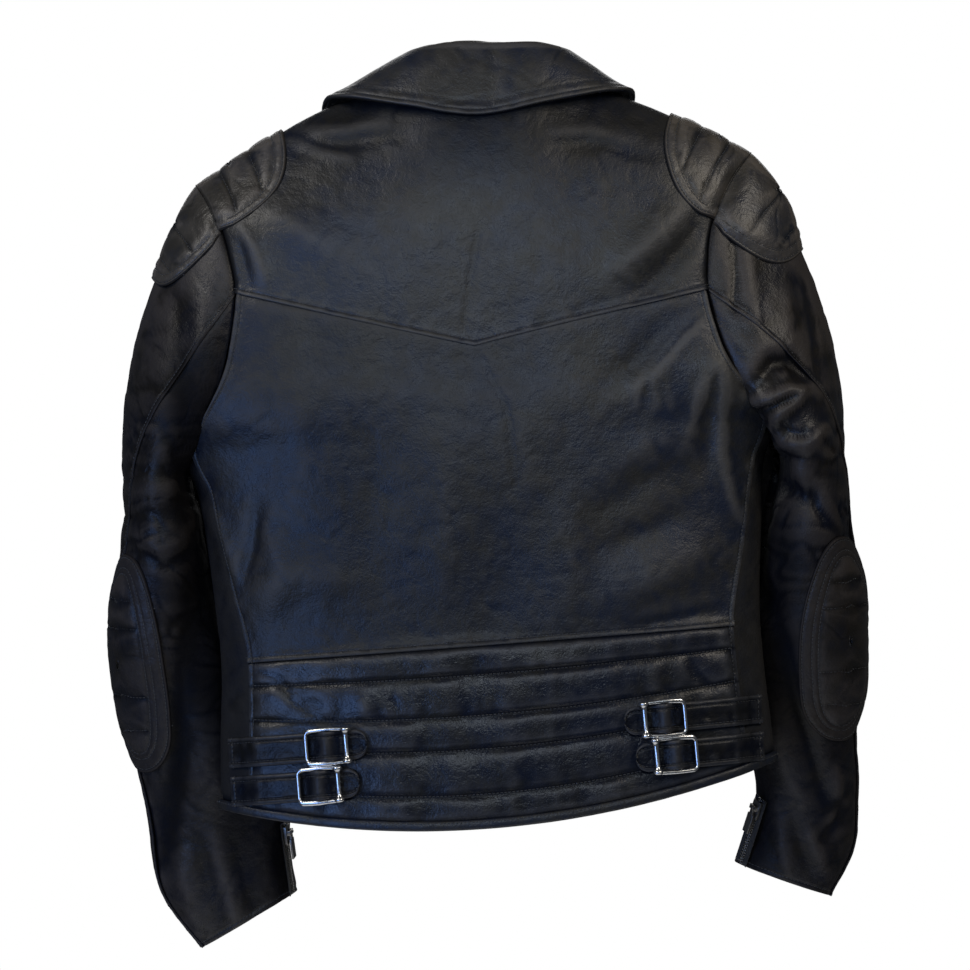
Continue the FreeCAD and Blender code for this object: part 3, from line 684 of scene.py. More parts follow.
TAPE = cloth_material("zip_tape", (0.008, 0.008, 0.009), (0.022, 0.022, 0.024), 0.8, 1400, 0.2)
THREAD = cloth_material("thread", (0.016, 0.017, 0.019), (0.050, 0.050, 0.052), 0.6, 2200, 0.2)
STEEL = metal_material("buckle_metal", (0.72, 0.73, 0.75), 0.24)
ZIP_METAL = metal_material("zip_metal", (0.26, 0.25, 0.235), 0.4)


# ---- leather panels ----------------------------------------------------------------------------

# rows near a worked edge, in mm from it; the stitches lie on the row at STITCH_IN, and the collar has
# more of them on its SECOND_ROW
EDGE_ROWS = (0, 0.3, 0.8, 1.5, 2.6, 3.6, 4.1, 4.5, 4.9, 5.6, 7.0, 9.0, 11.5)
STITCH_IN, SECOND_ROW = 4.5, 11.5


def spread(length, step, worked):
    """Rows across a panel of some length: place = squeeze * offset + share * length, in mm."""
    head, tail = (np.array(EDGE_ROWS if w else (0.0,)) for w in worked)
    count = max(int(round((length - head[-1] - tail[-1]) / step)), 2)
    f = np.arange(1, count) / count
    offset = np.concatenate([head, mix(head[-1], -tail[-1], f), -tail[::-1]])
    share = np.concatenate([0 * head, f, 1 + 0 * tail])
    return offset, share, head[-1] + tail[-1]


def settle(rows, curve):
    """Where the rows fall on a curve of points: their mm from its start and their parameter."""
    offset, share, taken = rows
    fine = np.linspace(0, 1, len(curve))
    steps = steps_along(curve)
    length = steps[-1]
    place = offset * min(1.0, length / (1.1 * taken + 1e-6)) + share * length
    return place, np.interp(place, steps, fine), length


def laid_grid(point, step, edges):
    """A grid of a patch whose rows keep the same distance in mm from its edges.

    Gives the points, the distance of each point from each edge, and the largest width and height.
    """
    fine = np.linspace(0, 1, 121)
    middle = np.full_like(fine, 0.5)
    worked = [edges[k] in ("lap", "fold", "seam") for k in ("s0", "s1", "t0", "t1")]
    across = spread(settle((0, 1, 0), point(fine, middle))[2], step, worked[:2])
    down = spread(settle((0, 1, 0), point(middle, fine))[2], step, worked[2:])
    s0, t0 = settle(across, point(fine, middle))[1], settle(down, point(middle, fine))[1]
    found = [settle(across, point(fine, np.full_like(fine, t))) for t in t0]
    from_s0, s = (np.stack([f[k] for f in found], 1) for k in (0, 1))
    width = np.array([f[2] for f in found])
    found = [settle(down, point(np.full_like(fine, a), fine)) for a in s0]
    from_t0, t = (np.stack([f[k] for f in found], 0) for k in (0, 1))
    height = np.array([f[2] for f in found])
    far = {"s0": from_s0, "s1": width[None] - from_s0, "t0": from_t0, "t1": height[:, None] - from_t0}
    return point(s, t), far, s, t, (width.max(), height.max())


def edge_shape(style, d):
    """How an edge lifts or sinks the leather at a distance d from it."""
    roll = -1.2 * (1 - np.sqrt(1 - (1 - np.clip(d / 1.2, 0, 1)) ** 2))
    groove = -0.5 * np.exp(-(((d - STITCH_IN) / 0.8) ** 2))
    if style == "lap":
        return 1.4 * (1 - ease(d / 9)) + roll + groove
    if style == "fold":
        return 0.5 * (1 - ease(d / 9)) + roll + groove
    if style == "seam":
        return -1.9 * np.exp(-d / 2.4)
    if style == "tuck":
        return -1.8 * (1 - ease(d / 10))
    return 0 * d


def softened_grid(grid, times):
    """The grid with its sharp changes evened out."""
    for _ in range(times):
        around = np.pad(grid, 1, mode="edge")
        grid = (around[:-2, 1:-1] + around[2:, 1:-1] + around[1:-1, :-2] + around[1:-1, 2:] + 2 * grid) / 6
    return grid


def area_of(grid):
    """The area of a grid of points, from the diagonals of its cells."""
    a, b = grid[1:, 1:] - grid[:-1, :-1], grid[1:, :-1] - grid[:-1, 1:]
    return np.linalg.norm(np.cross(a, b), axis=-1).sum() / 2


def leather(node, point, middle, edges, step=2.6, relief=None, lift=LEATHER, thick=1.7, surface=BLACK,
            padded=None, dull=None):
    """One leather piece with worked edges, folds and stitch rows, in the place of its CAD node.

    relief gives the height of its folds, and dull how much painted shade darkens and dulls it, from 0 to 1.
    """
    base, far, s, t, size = laid_grid(point, step, edges)
    n = normals(base, middle)
    height = np.full(base.shape[:2], lift) + 0.45 * noise(base, (26, 26, 44)) + 0.16 * noise(base, 9)
    pucker = np.zeros(base.shape[:2])
    for key, style in edges.items():
        height = height + edge_shape(style, far[key])
        if style in ("lap", "fold"):
            pucker = np.maximum(pucker, np.exp(-((far[key] - STITCH_IN - 1) / 5.0) ** 2))
    height = height + 0.55 * pucker * noise(base, 6.5)
    # painted shade: the deeper creases, the sunk seams, the tucked edges and what dull gives are painted
    # darker and less shiny
    hollow = np.zeros(base.shape[:2])
    if relief:
        bend = relief(base, n, s, t, far)
        height = height + bend
        hollow = softened_grid(np.clip((-bend - 1.3) / 6, 0, 0.9), 7)
    for key, style in edges.items():
        if style in ("seam", "tuck"):
            hollow = np.maximum(hollow, 0.9 * np.exp(-((far[key] / 4.5) ** 1.5)))
    if dull:
        hollow = np.maximum(hollow, dull(base, t))
    outer = base + n * height[..., None]
    bent = normals(outer, middle)
    wear = worn(outer, bent)
    for key, style in edges.items():
        if style in ("seam", "tuck"):
            wear = wear * ease(far[key] / 10)
    made = shell(f"{node}_leather", outer, outer - n * thick, surface, wear=wear, hollow=hollow)
    belongs(made, node)
    if padded is None:
        hung_sheet(made, *size, area_of(base))
    row = EDGE_ROWS.index(STITCH_IN)
    lines = {"s0": (outer[row], bent[row]), "s1": (outer[-1 - row], bent[-1 - row]),
             "t0": (outer[:, row], bent[:, row]), "t1": (outer[:, -1 - row], bent[:, -1 - row])}
    stitched = [lines[k] for k, style in edges.items() if style in ("lap", "fold")]
    if stitched:
        stitches(f"{node}_stitches", stitched)
    return outer, bent, s, t


def sewn(s0, s1, t0, t1):
    """The style of each edge: lap and fold are stitched, seam is sunk, tuck lies under its neighbour."""
    return {"s0": s0, "s1": s1, "t0": t0, "t1": t1}


def soft_relief(folds, facing=1):
    """Folds from a list, soft waves, and fine creases where the leather is worked."""
    def relief(p, n, s, t, far):
        edge = np.minimum.reduce(list(far.values()))
        return (fold_height(p, n, folds, facing) * ease(edge / 6 + 0.25)
                + ease(edge / 14) * (1.5 * noise(p, (70, 60, 110)) - 0.35 * creases(p, (30, 30, 22))))
    return relief


def back_panels():
    """The yoke, the main panel whose top lies under the yoke's V, and the strips below the arms."""
    under_yoke = 0.045
    folds = soft_relief(BACK_FOLDS)

    def yoke(s, t):
        a = 2 * s - 1
        return body(np.copysign(np.abs(a) ** 0.85, a) * 0.999, t)

    # painted shadow under the collar: the top of the yoke is painted darker and less shiny
    def painted_shadow_under_collar(p, t):
        return 0.5 * ease((p[..., 2] + 90) / 80)
    leather("back_yoke", yoke, body_middle, sewn("seam", "seam", "seam", "lap"), relief=folds, dull=painted_shadow_under_collar)

    def main(s, t):
        v = mix(1 - under_yoke, 3, t)
        return body_ring((2 * s - 1) * (along(BACK_SEAM, v) + 1.2), v)

    # painted shade: the back panel is painted darker and less shiny down its middle, towards the waist seam
    # and towards the wearer's left
    def painted_shade_on_back(p, t):
        left = ease((p[..., 0] - 20) / 110)
        return 0.22 * np.exp(-((p[..., 0] / 90) ** 2)) + 0.12 * ease(t) + 0.26 * left
    leather("back_panel", main, body_middle, sewn("lap", "lap", "tuck", "lap"), relief=folds,
            dull=painted_shade_on_back)
    for name, side in SIDES.items():
        def strip(s, t):
            v = mix(2.04, 4, t)
            return body_ring(side * mix(along(BACK_SEAM, v) - 4, 184 - along(FRONT_SEAM, v), s), v)

        # painted shade: the strips under the arms are painted darker and less shiny all over, the left one
        # more
        def painted_shade_on_side_strip(p, t):
            return np.full(t.shape, 0.78 if side > 0 else 0.62)
        leather(f"side_panel_{name}", strip, body_middle, sewn("tuck", "tuck", "seam", "tuck"), step=3.2,
                relief=folds, dull=painted_shade_on_side_strip)


# the sewn lines of the waist panel, as shares of the way from the waist seam to the hem
CHANNELS = (0.0, 0.163, 0.401, 0.592, 0.857, 1.0)
# where the panel starts and how far it reaches, as such shares, and mm from the waist seam to the hem
WAIST_START, WAIST_REACH, WAIST_LENGTH = -0.035, 1.055, 147.0


def waist_panel():
    """Five puffy channels between sewn lines, with the puckers that such sewing makes.

    The panel starts a little above the waist seam and reaches into the hem binding.
    """
    def below_seam(t):
        return WAIST_START + WAIST_REACH * t

    def from_line(f):
        return np.min([np.abs(f - c) for c in CHANNELS], axis=0) * WAIST_LENGTH

    def point(s, t):
        return body_ring((2 * s - 1) * 63, 3 + below_seam(t))

    def relief(p, n, s, t, far):
        f = below_seam(t)
        lift = np.zeros(f.shape)
        for a, b in zip(CHANNELS, CHANNELS[1:]):
            w = np.clip((f - a) / (b - a), 0, 1)
            puff = (1 - np.abs(2 * w - 1) ** 3.4) ** 0.7 * mix(1.8, 3.2, (b - a) * 4)
            lift = np.where((f > a) & (f <= b), puff, lift)
        line = from_line(f)
        gather = 0.5 * noise(p, (8, 40, 34)) + noise(p + 300, (19, 40, 60))
        lift = lift + gather * np.exp(-line / 16) * (1 - np.exp(-line / 1.5))
        streaks = 1.2 * noise(p, (30, 50, 60)) + 0.8 * noise(p + 150, (12, 40, 90))
        lift = lift + streaks * ease(line / 7)
        ends = ease(np.minimum(far["s0"], far["s1"]) / 12)
        return ends * lift * ease(f * 40 + 0.4) + fold_height(p, n, WAIST_FOLDS) * ends

    # painted shade: the sewn lines across the panel are painted near black, with a faint dark band beside
    # them
    def dull(p, t):
        line = from_line(below_seam(t))
        return 0.95 * np.exp(-((line / 1.2) ** 2)) + 0.12 * np.exp(-line / 4)
    outer, bent, _, t = leather(
        "waist_panel", point, body_middle, sewn("lap", "lap", "tuck", "plain"), step=1.9, relief=relief,
        dull=dull, thick=2.4, surface=WAIST, padded=0.55)
    lines = []
    for c in CHANNELS[1:-1]:
        row = np.abs(below_seam(t[t.shape[0] // 2]) - c).argmin()
        lines.append((outer[8:-8, row], bent[8:-8, row]))
    stitches("waist_quilting", lines)


def front_panels():
    """Two plain front panels that end beside the zip."""
    beside_zip = 8.0
    for name, side in SIDES.items():
        def point(s, t):
            v = 4 * t**1.35
            top = along(((0, 0), (0.25, 0.16), (0.45, 0.28), (0.6, 0.37), (0.8, 0.65), (1, 1)), s)
            low = np.sin(np.radians(s * along(FRONT_SEAM, v))) ** 0.9
            start = beside_zip / along(BODY, v)[..., 0]
            return body(side * mix(start, 1, mix(top, low, np.minimum(v, 1))), v, False)
        leather(f"front_panel_{name}", point, body_middle, sewn("fold", "lap", "seam", "tuck"), step=3.4,
                relief=soft_relief(FRONT_FOLDS, -1))


def sleeves():
    """A top and an under piece for each arm, the under one tucked below the top one's edges."""
    tucked = 7.0
    for name, side in SIDES.items():
        seam, folds, middle = SLEEVE_SEAM[side], SLEEVE_FOLDS[side], sleeve_middle(side)

        def top(s, t):
            down = CUFF * t**1.25
            return sleeve(side, mix(FRONT_SEAM_ANGLE, along(seam, down), s), down)

        def under(s, t):
            down = CUFF * t**1.25
            return sleeve(side, mix(along(seam, down) - tucked, 360 + tucked + FRONT_SEAM_ANGLE, s), down)

        def relief(p, n, s, t, far):
            worked = np.exp(-(((p[..., 2] + 350) / 130) ** 2))
            cross = 2.2 * noise(p, (52, 52, 19)) * worked - (0.3 + 1.2 * worked) * creases(p, (46, 46, 13))
            cross = cross - (0.2 + 0.6 * worked) * creases(p + 90, (34, 34, 22))
            inner_edge = ease(np.minimum.reduce(list(far.values())) / 10)
            return soft_relief(folds)(p, n, s, t, far) + cross * inner_edge

        # painted shade: the sleeve is painted darker and less shiny below the upper arm, most on its inner
        # side next to the body
        def dull(p, t):
            inward = -side * (p - middle(p))[..., 0]
            low = ease((mix(-215, -110, side > 0) - p[..., 2]) / 150)
            share = mix(0.5, 0.1 if side > 0 else 0.3, ease((-480 - p[..., 2]) / 120))
            return low * (share + 0.45 * ease(inward / 30 + 0.2 * (side > 0)))
        for part, point, sides in (("top", top, "lap"), ("under", under, "tuck")):
            leather(f"sleeve_{part}_{name}", point, middle, sewn(sides, sides, "seam", "fold"),
                    step=2.1 if part == "under" else 2.6, relief=relief, dull=dull, surface=SHADED_SLEEVE_BLACK)


# ---- quilted pads --------------------------------------------------------------------------------

PAD_STEP = 2.2
PAD_ROWS = (0, 0.35, 0.8, 1.5, 2.2, 2.6, 3, 3.8, 4.8, 6, *range(7, 18))   # in mm from the edge
EDGE_ROLL = 2.9   # no small pleats this near the edge
SHOULDER_CENTRE = np.array([166, 0, -124])   # on the wearer's left; pads rise away from it at their seam


def near_lines(q, lines):
    """How far flat points are from the nearest of some straight lines."""
    flat = q.reshape(-1, 2)
    far = np.minimum.reduce([near_line(flat, np.array(a, float), np.array(b, float))[0] for a, b in lines])
    return far.reshape(q.shape[:-1])


def pad_rings(rim, border, rows):
    """Flat rings of points from a pad's rim to its centre, the first ones at set distances from its edge."""
    centre = rim.mean(0)

    def on_rays(w):
        return rim * (1 - w[..., None]) + centre * w[..., None]
    rays = np.linspace(0, 0.97, 70)
    depth = near_lines(on_rays(rays[:, None]), border)
    outer = np.array([np.interp(rows, depth[:, j], rays) for j in range(len(rim))]).T
    reach = np.linalg.norm(rim - centre, axis=1).mean()
    more = max(int((1 - outer[-1].mean()) * reach / PAD_STEP), 6)
    inner = mix(outer[-1], 0.97, np.arange(1, more + 1)[:, None] / more)
    return on_rays(np.vstack([outer, inner]))


def cushion(name, outer, inner, surface, wear, hollow):
    """A closed mesh whose top is rings from its rim to its middle, above a flat underside."""
    k, m = outer.shape[:2]
    ring = np.arange(m)
    after = (ring + 1) % m
    rim_below, middle_below = k * m, (k + 1) * m
    skirt = np.stack([ring, after, rim_below + after, rim_below + ring], -1)
    under = np.stack([rim_below + ring, rim_below + after, middle_below + after, middle_below + ring], -1)
    quads = np.vstack([ring_quads(k, m), skirt[:, ::-1], under[:, ::-1], cap_quads(m) + (k - 1) * m,
                       cap_quads(m)[:, ::-1] + middle_below])
    i = k // 2
    facing = np.cross(outer[i + 1, 0] - outer[i, 0], outer[i, 1] - outer[i, 0])
    if facing @ (outer[i, 0] - inner[i, 0]) < 0:
        quads = quads[:, ::-1]
    # the flat underside is marked as full painted shade
    return mesh_object(name, np.concatenate([outer.reshape(-1, 3), inner[0], inner[-1]]), quads, surface,
                       wear=np.concatenate([wear.ravel(), np.zeros(2 * m)]),
                       hollow=np.concatenate([hollow.ravel(), np.ones(2 * m)]))


def pad(node, place, middle, outline, quilt, band, top, surface=QUILT, seam_side=-FAR, crown=0.0,
        stitch_rows=(2.6,)):
    """A quilted pad: place(q) puts flat points (mm) on the jacket, outline is its closed edge, quilt its
    sewn lines across, band how far its stitched border reaches in, top its height, crown how much higher
    it is in the middle. A side at y = seam_side is sewn into a seam and has no border."""
    closed = np.vstack([outline, outline[:1]])
    steps = steps_along(closed)
    count = int(steps[-1] / PAD_STEP)
    at = np.arange(count) / count * steps[-1]
    rim = np.stack([np.interp(at, steps, closed[:, k]) for k in (0, 1)], -1)
    border = list(zip(rim, np.roll(rim, -1, 0)))
    rows = [d for d in PAD_ROWS if d < band + 1.5]
    flat = pad_rings(rim, border, rows)
    from_seam = flat[..., 1] - seam_side
    base = place(flat)
    wrapped = np.concatenate([base[:, -2:], base, base[:, :2]], 1)
    n = normals(wrapped, middle)[:, 2:-2]
    swell = unit(base - SHOULDER_CENTRE * [np.sign(base[0, 0, 0]), 1, 1])
    n = unit(mix(swell, n, ease(from_seam / 16)[..., None]))

    from_edge = near_lines(flat, border)
    from_edge[:len(rows)] = np.array(rows)[:, None]
    free = near_lines(flat, [(a, b) for a, b in border if max(a[1], b[1]) >= seam_side + 0.2])
    gap = np.minimum(np.maximum(free - band, 0), near_lines(flat, quilt))
    inside = ease((free - band) / 1.5)
    pleats = noise(base, 4.5) * np.exp(-np.abs(free - band / 2 - 2) / (band / 2)) * (free > EDGE_ROLL)
    lift = 0.4 + 2.4 * np.sqrt(1 - (1 - np.clip(free / 1.6, 0, 1)) ** 2)
    sewn_rows = (*stitch_rows, band)
    for row in sewn_rows:
        lift = lift - 0.6 * np.exp(-(((free - row) / 0.9) ** 2))
    lift = lift + (top - 2.8) * (1 - np.exp(-gap / 4.5)) * inside - 0.35 * inside * np.exp(-(gap**2))
    lift = lift + crown * np.sin(math.pi * np.clip(from_seam / 80, 0, 1)) * ease(free / 12)
    lift = lift + 0.4 * inside * (noise(base, 20) + noise(base, 8) * np.exp(-gap / 4)) + 0.55 * pleats
    lift = lift - 0.35 * creases(base, 24) - 0.7 * np.exp(-np.maximum(from_seam, 0) / 2.2)
    # painted shade: the sewn quilt lines and the rim of the pad are painted darker and less shiny
    hollow = 0.55 * np.exp(-((gap / 0.9) ** 2)) * inside + 0.9 * np.exp(-((from_edge / 1.3) ** 2))
    outer = base + n * (LEATHER + lift)[..., None]
    wrapped = np.concatenate([outer[:, -3:], outer, outer[:, :3]], 1)
    bent = normals(wrapped, middle)
    rubbed = 0.5 * ease(noise(base, 34) * 1.6) * inside + 0.4 * ease((free - 1.5) / 2) * (1 - inside)
    wear = np.maximum(worn(wrapped, bent)[:, 3:-3], rubbed)
    bent = bent[:, 3:-3]

    made = cushion(f"{node}_padding", outer, base + n * (LEATHER - 0.4), surface, wear, np.clip(hollow, 0, 1))
    belongs(made, node)
    lines = []
    for row in sewn_rows:
        i = int(np.abs(np.array(rows) - row).argmin())
        on_line = free[i] < from_edge[i] + 0.3
        lines.append((outer[i][on_line], bent[i][on_line]))
    flat_points, tops, ups = flat.reshape(-1, 2), outer.reshape(-1, 3), bent.reshape(-1, 3)
    for ends in np.array(quilt, float):
        run = mix(*ends, np.linspace(0, 1, 25)[:, None])
        run = run[near_lines(run, border) > band]
        if len(run) > 2:
            near = ((run[:, None] - flat_points[None]) ** 2).sum(-1).argmin(1)
            lines.append((tops[near], ups[near]))
    stitches(f"{node}_stitches", lines)


def elbow_pads():
    """Long oval pads; their flat x runs down the sleeve and their flat y round it."""
    half_length, mm_down, squareness = 92.0, 45.0, 2 / 2.3
    # the middle's place down the sleeve and round it in degrees, the half width, mm for each degree
    pads = {"left": (4.12, 36.0, 41.0, 0.80), "right": (4.08, 49.0, 44.0, 0.84)}
    for name, (down, angle, half_width, mm_round) in pads.items():
        side = SIDES[name]

        def place(q):
            return sleeve(side, angle + q[..., 1] / mm_round, down + q[..., 0] / mm_down)
        quilt = [((x, -60), (x + 6, 60)) for x in (-57, -33, 20, 49)]
        pad(f"elbow_pad_{name}", place, sleeve_middle(side),
            oval(half_length, half_width, squareness, squareness, 160), quilt, 16.0, 4.6, ELBOW,
            stitch_rows=(3, 11))


def shoulder_pads():
    """The body half and the sleeve half of each quilted shoulder; flat y is 0 at the sleeve seam."""
    def arch(half, start, reach, square, power):
        w = np.linspace(-1, 1, 60)
        return np.stack([w * half, start + reach * (1 - np.abs(w) ** square) ** power], -1)

    def across(*heights):
        return [((-64, y), (64, y)) for y in heights]
    for name, side in SIDES.items():
        def on_body(q):
            v = np.abs(q[..., 0]) / 150.0
            return body(side * (1 - q[..., 1] / SHOULDER_HALF), v, q[..., 0] > 0)

        def on_sleeve(q):
            return sleeve(side, q[..., 0] * 0.66, q[..., 1] / 250.0)
        outline = arch(68, -1.5, 70, 2.2, 0.62)
        pad(f"shoulder_pad_{name}", on_body, body_middle, outline, across(17, 41), 9.4, 4.2, seam_side=-1.5)
        outline = arch(66, -0.5, 80, 2.6, 0.7)
        pad(f"sleeve_pad_{name}", on_sleeve, sleeve_middle(side), outline, across(34, 61), 9.4, 3.8,
            seam_side=-0.5, crown=5.5 if side < 0 else 0.5)


# ---- collar, hem, linings, loop --------------------------------------------------------------------

NECK_CURVE = ((0, 0, 38, 1), (1, 40, 31, 9), (2, 66, 10, 23), (3, 64, -24, 6), (4, 50, -44, -36),
              (5, 14, -53, -70))
FOLD_CURVE = ((0, 0, 32, 60), (1, 42, 27, 59), (2, 72, 5, 50), (3, 72, -28, 26), (4, 54, -54, -16),
              (5, 15, -64, -64))
EDGE_CURVE = ((0, 0, 53, -2), (1, 62, 50, 8), (2, 116, 30, 17), (3, 134, -14, 12), (4, 124, -60, -28),
              (5, 88, -75, -104))


def collar_curve(rows, s):
    """Points of a line round the collar, whose rows give it from the middle of the back to the left end."""
    other_side = [(-k, -x, y, z) for k, x, y, z in rows[1:]]
    return lean(*np.moveaxis(along([*other_side, *rows], 5 * (2 * s - 1)), -1, 0))


def collar_middle(p):
    return np.stack([0 * p[..., 0] - 8, 0 * p[..., 1] - 10, p[..., 2] - 30], -1)


def collar():
    """The stand inside, and the fall that rolls over it and lies on the shoulders."""
    def stand(s, t):
        low, high = collar_curve(NECK_CURVE, s), collar_curve(FOLD_CURVE, s)
        front = ease((np.abs(2 * s - 1) - 0.68) / 0.3)
        drop = (1 - t)[..., None] * np.stack([0 * s, 3 * front, 6 + 8 * front], -1)
        return mix(low, high, 0.9 * t[..., None]) - drop
    leather("collar_stand", stand, collar_middle, sewn("fold", "fold", "plain", "plain"), step=3.0, lift=-1.2,
            thick=2.0)

    def fall(s, t):
        neck, high, low = (collar_curve(rows, s) for rows in (NECK_CURVE, FOLD_CURVE, EDGE_CURVE))
        inward = unit(neck + high - 2 * low) * np.array([1, 1, 0])
        stations = np.stack([
            mix(high, neck, 0.34) + inward * 1.5,
            mix(high, neck, 0.14) + inward * 1.2,
            high - np.array([0, 0, 0.6]),
            mix(high, low, 0.07) - inward * 2.4,
            mix(high, low, 0.4) - inward * 5.5,
            mix(high, low, 0.75) - inward * 3.0,
            low,
        ])
        last = len(stations) - 1
        at = np.clip(t, 0, 1) * last
        i = np.clip(np.floor(at).astype(int), 0, last - 1)
        w = (at - i)[..., None]
        p0, p1, p2, p3 = (np.take_along_axis(stations, np.clip(i + k, 0, last)[None, ..., None], 0)[0]
                          for k in (-1, 0, 1, 2))
        return 0.5 * (2 * p1 + (p2 - p0) * w + (2 * p0 - 5 * p1 + 4 * p2 - p3) * w**2
                      + (3 * p1 - p0 - 3 * p2 + p3) * w**3)

    def relief(p, n, s, t, far):
        wave = 1.1 * noise(p, (46, 46, 60)) - 0.5 * creases(p, (40, 40, 24))
        second = -0.5 * np.exp(-(((far["t1"] - SECOND_ROW) / 0.9) ** 2))
        crease = -0.5 * np.exp(-(((p[..., 0] + 12) / 5) ** 2)) + 0.5 * np.exp(-(((p[..., 0] + 24) / 9) ** 2))
        return wave * ease(far["t1"] / 12) + second + crease * ease(far["t1"] / 20)
    outer, bent, _, _ = leather(
        "collar_fall", fall, lambda p: collar_middle(p) - np.array([0, 0, 30]),
        sewn("fold", "fold", "plain", "fold"), step=2.2, relief=relief, lift=1.2, thick=2.6, padded=0.2)
    row = -1 - EDGE_ROWS.index(SECOND_ROW)
    stitches("collar_second_row", [(outer[4:-4, row], bent[4:-4, row])])


def hem_binding():
    """A folded strip that binds the bottom edge all the way round to the zip."""
    turn = np.linspace(-178.0, 178.0, 420)
    top = body_ring(turn, np.full_like(turn, 4.0))
    n = unit((top - body_middle(top)) * np.array([1, 1, 0]))
    path = top - np.array([0, 0, 3.4]) + n * 1.6
    path = path + n * (0.8 * noise(path, 22) + 0.5 * noise(path, 7))[:, None]
    ups = np.tile([0.0, 0, 1], (len(path), 1))
    made = tube("hem_binding_leather", path, oval(3.1, 4.3, 0.7, 0.7), ups, BLACK)
    belongs(made, "hem_binding")
    stitches("hem_stitches", [(path + n * 3.2 + np.array([0, 0, 2.4]), n)])


def lining_sheet(name, node, point, middle, folds, facing=1, offset=-3.6):
    """A sheet of red lining inside the leather, with a little slack."""
    fine = np.linspace(0, 1, 90)
    s, t = np.meshgrid(fine, fine, indexing="ij")
    base = point(s, t)
    n = normals(base, middle)
    border = np.minimum.reduce([s, 1 - s, t, 1 - t])
    slack = 0.9 * (noise(base, (30, 30, 60)) - 0.6 * creases(base, (26, 26, 50))) - 0.6
    height = offset + slack * ease(border * 12) + 1.1 * np.minimum(0, fold_height(base, n, folds, facing))
    outer = base + n * height[..., None]
    made = belongs(shell(name, outer, outer - n * 0.8, LINING), node)
    half = len(fine) // 2
    hung_sheet(made, steps_along(base[:, half])[-1], steps_along(base[half])[-1], area_of(base))


def linings():
    """The back and both fronts of the body's lining, and two halves of each sleeve's."""
    def side_end(v):
        return along(((0, 78), (1.9, 78), (2.2, 89.6), (4, 89.6)), v)

    def back(s, t):
        v = 0.1 + 3.86 * t
        return body_ring((2 * s - 1) * side_end(v), v)
    lining_sheet("body_lining_back", "body_lining", back, body_middle, BACK_FOLDS)
    for name, side in SIDES.items():
        def front(s, t):
            v = 0.35 + 3.61 * t
            return body_ring(side * mix(176, 180 - side_end(v), s), v)
        lining_sheet(f"body_lining_front_{name}", "body_lining", front, body_middle, FRONT_FOLDS, -1)

        def tube_half(first, last):
            return lambda s, t: sleeve(side, mix(first, last, s), mix(1.0, CUFF - 0.08, t))
        for part, first, last in (("outer", -91, 91), ("inner", 89, 271)):
            lining_sheet(f"sleeve_lining_{part}_{name}", f"sleeve_lining_{name}", tube_half(first, last),
                         sleeve_middle(side), SLEEVE_FOLDS[side], 1, -3.4)


def hanger_loop():
    """A short folded strap sewn inside the back neck."""
    low, high = np.array(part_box("hanger_loop")) / MM
    ends, sag = 18.0, 22.0
    turn = np.radians(np.linspace(180 + ends, 360 - ends, 40))
    centre = (low + high) / 2
    radius = ((high[0] - low[0]) / 2 - 0.8) / math.cos(math.radians(ends))
    path = np.stack([centre[0] + radius * np.cos(turn), 0 * turn + centre[1],
                     high[2] + 1.5 + sag * np.sin(turn)], -1)
    path = path[path[:, 2] > low[2] - 1]
    away = unit(path - np.array([centre[0], centre[1], high[2]]))
    belongs(tube("hanger_loop_leather", path, oval(4.0, 1.1, 0.6, 0.8), away, BLACK),
            "hanger_loop")


# ---- waist straps and buckles ------------------------------------------------------------------------

# level: height of the strap, distance of its buckle from the middle of the back
STRAPS = {"upper": (-527.2, 141.0), "lower": (-559.2, 149.0)}
STRAP_START, STRAP_PAST_BUCKLE, STRAP_WIDTH, STRAP_THICK = 224.0, 33.0, 25.0, 2.5
WAIST_PAD_END, SIDE_STEP = 200.0, 14.0   # where a strap comes down from the pad, over SIDE_STEP mm
BUCKLE_LIFT, OUTER_BAR_LIFT = 6.0, 1.5
BUCKLE_HALF_LENGTH, BUCKLE_HALF_WIDTH, BUCKLE_CORNER, BUCKLE_WIRE = 17.5, 13.9, 4.2, 1.75


def waist_point(side, x, z):
    """The body surface at the back waist, at a place given before the lean."""
    x, z = np.broadcast_arrays(np.asarray(x, float), np.asarray(z, float))
    v = 3 + (z - WAIST_SEAM) / (HEM_MIDDLE - WAIST_SEAM)
    for _ in range(3):
        a = x / along(BODY, v)[..., 0]
        v = 3 + (z - WAIST_SEAM) / (mix(HEM_MIDDLE, HEM_SIDE, a * a) - WAIST_SEAM)
    return body(side * np.minimum(a, 1), v)


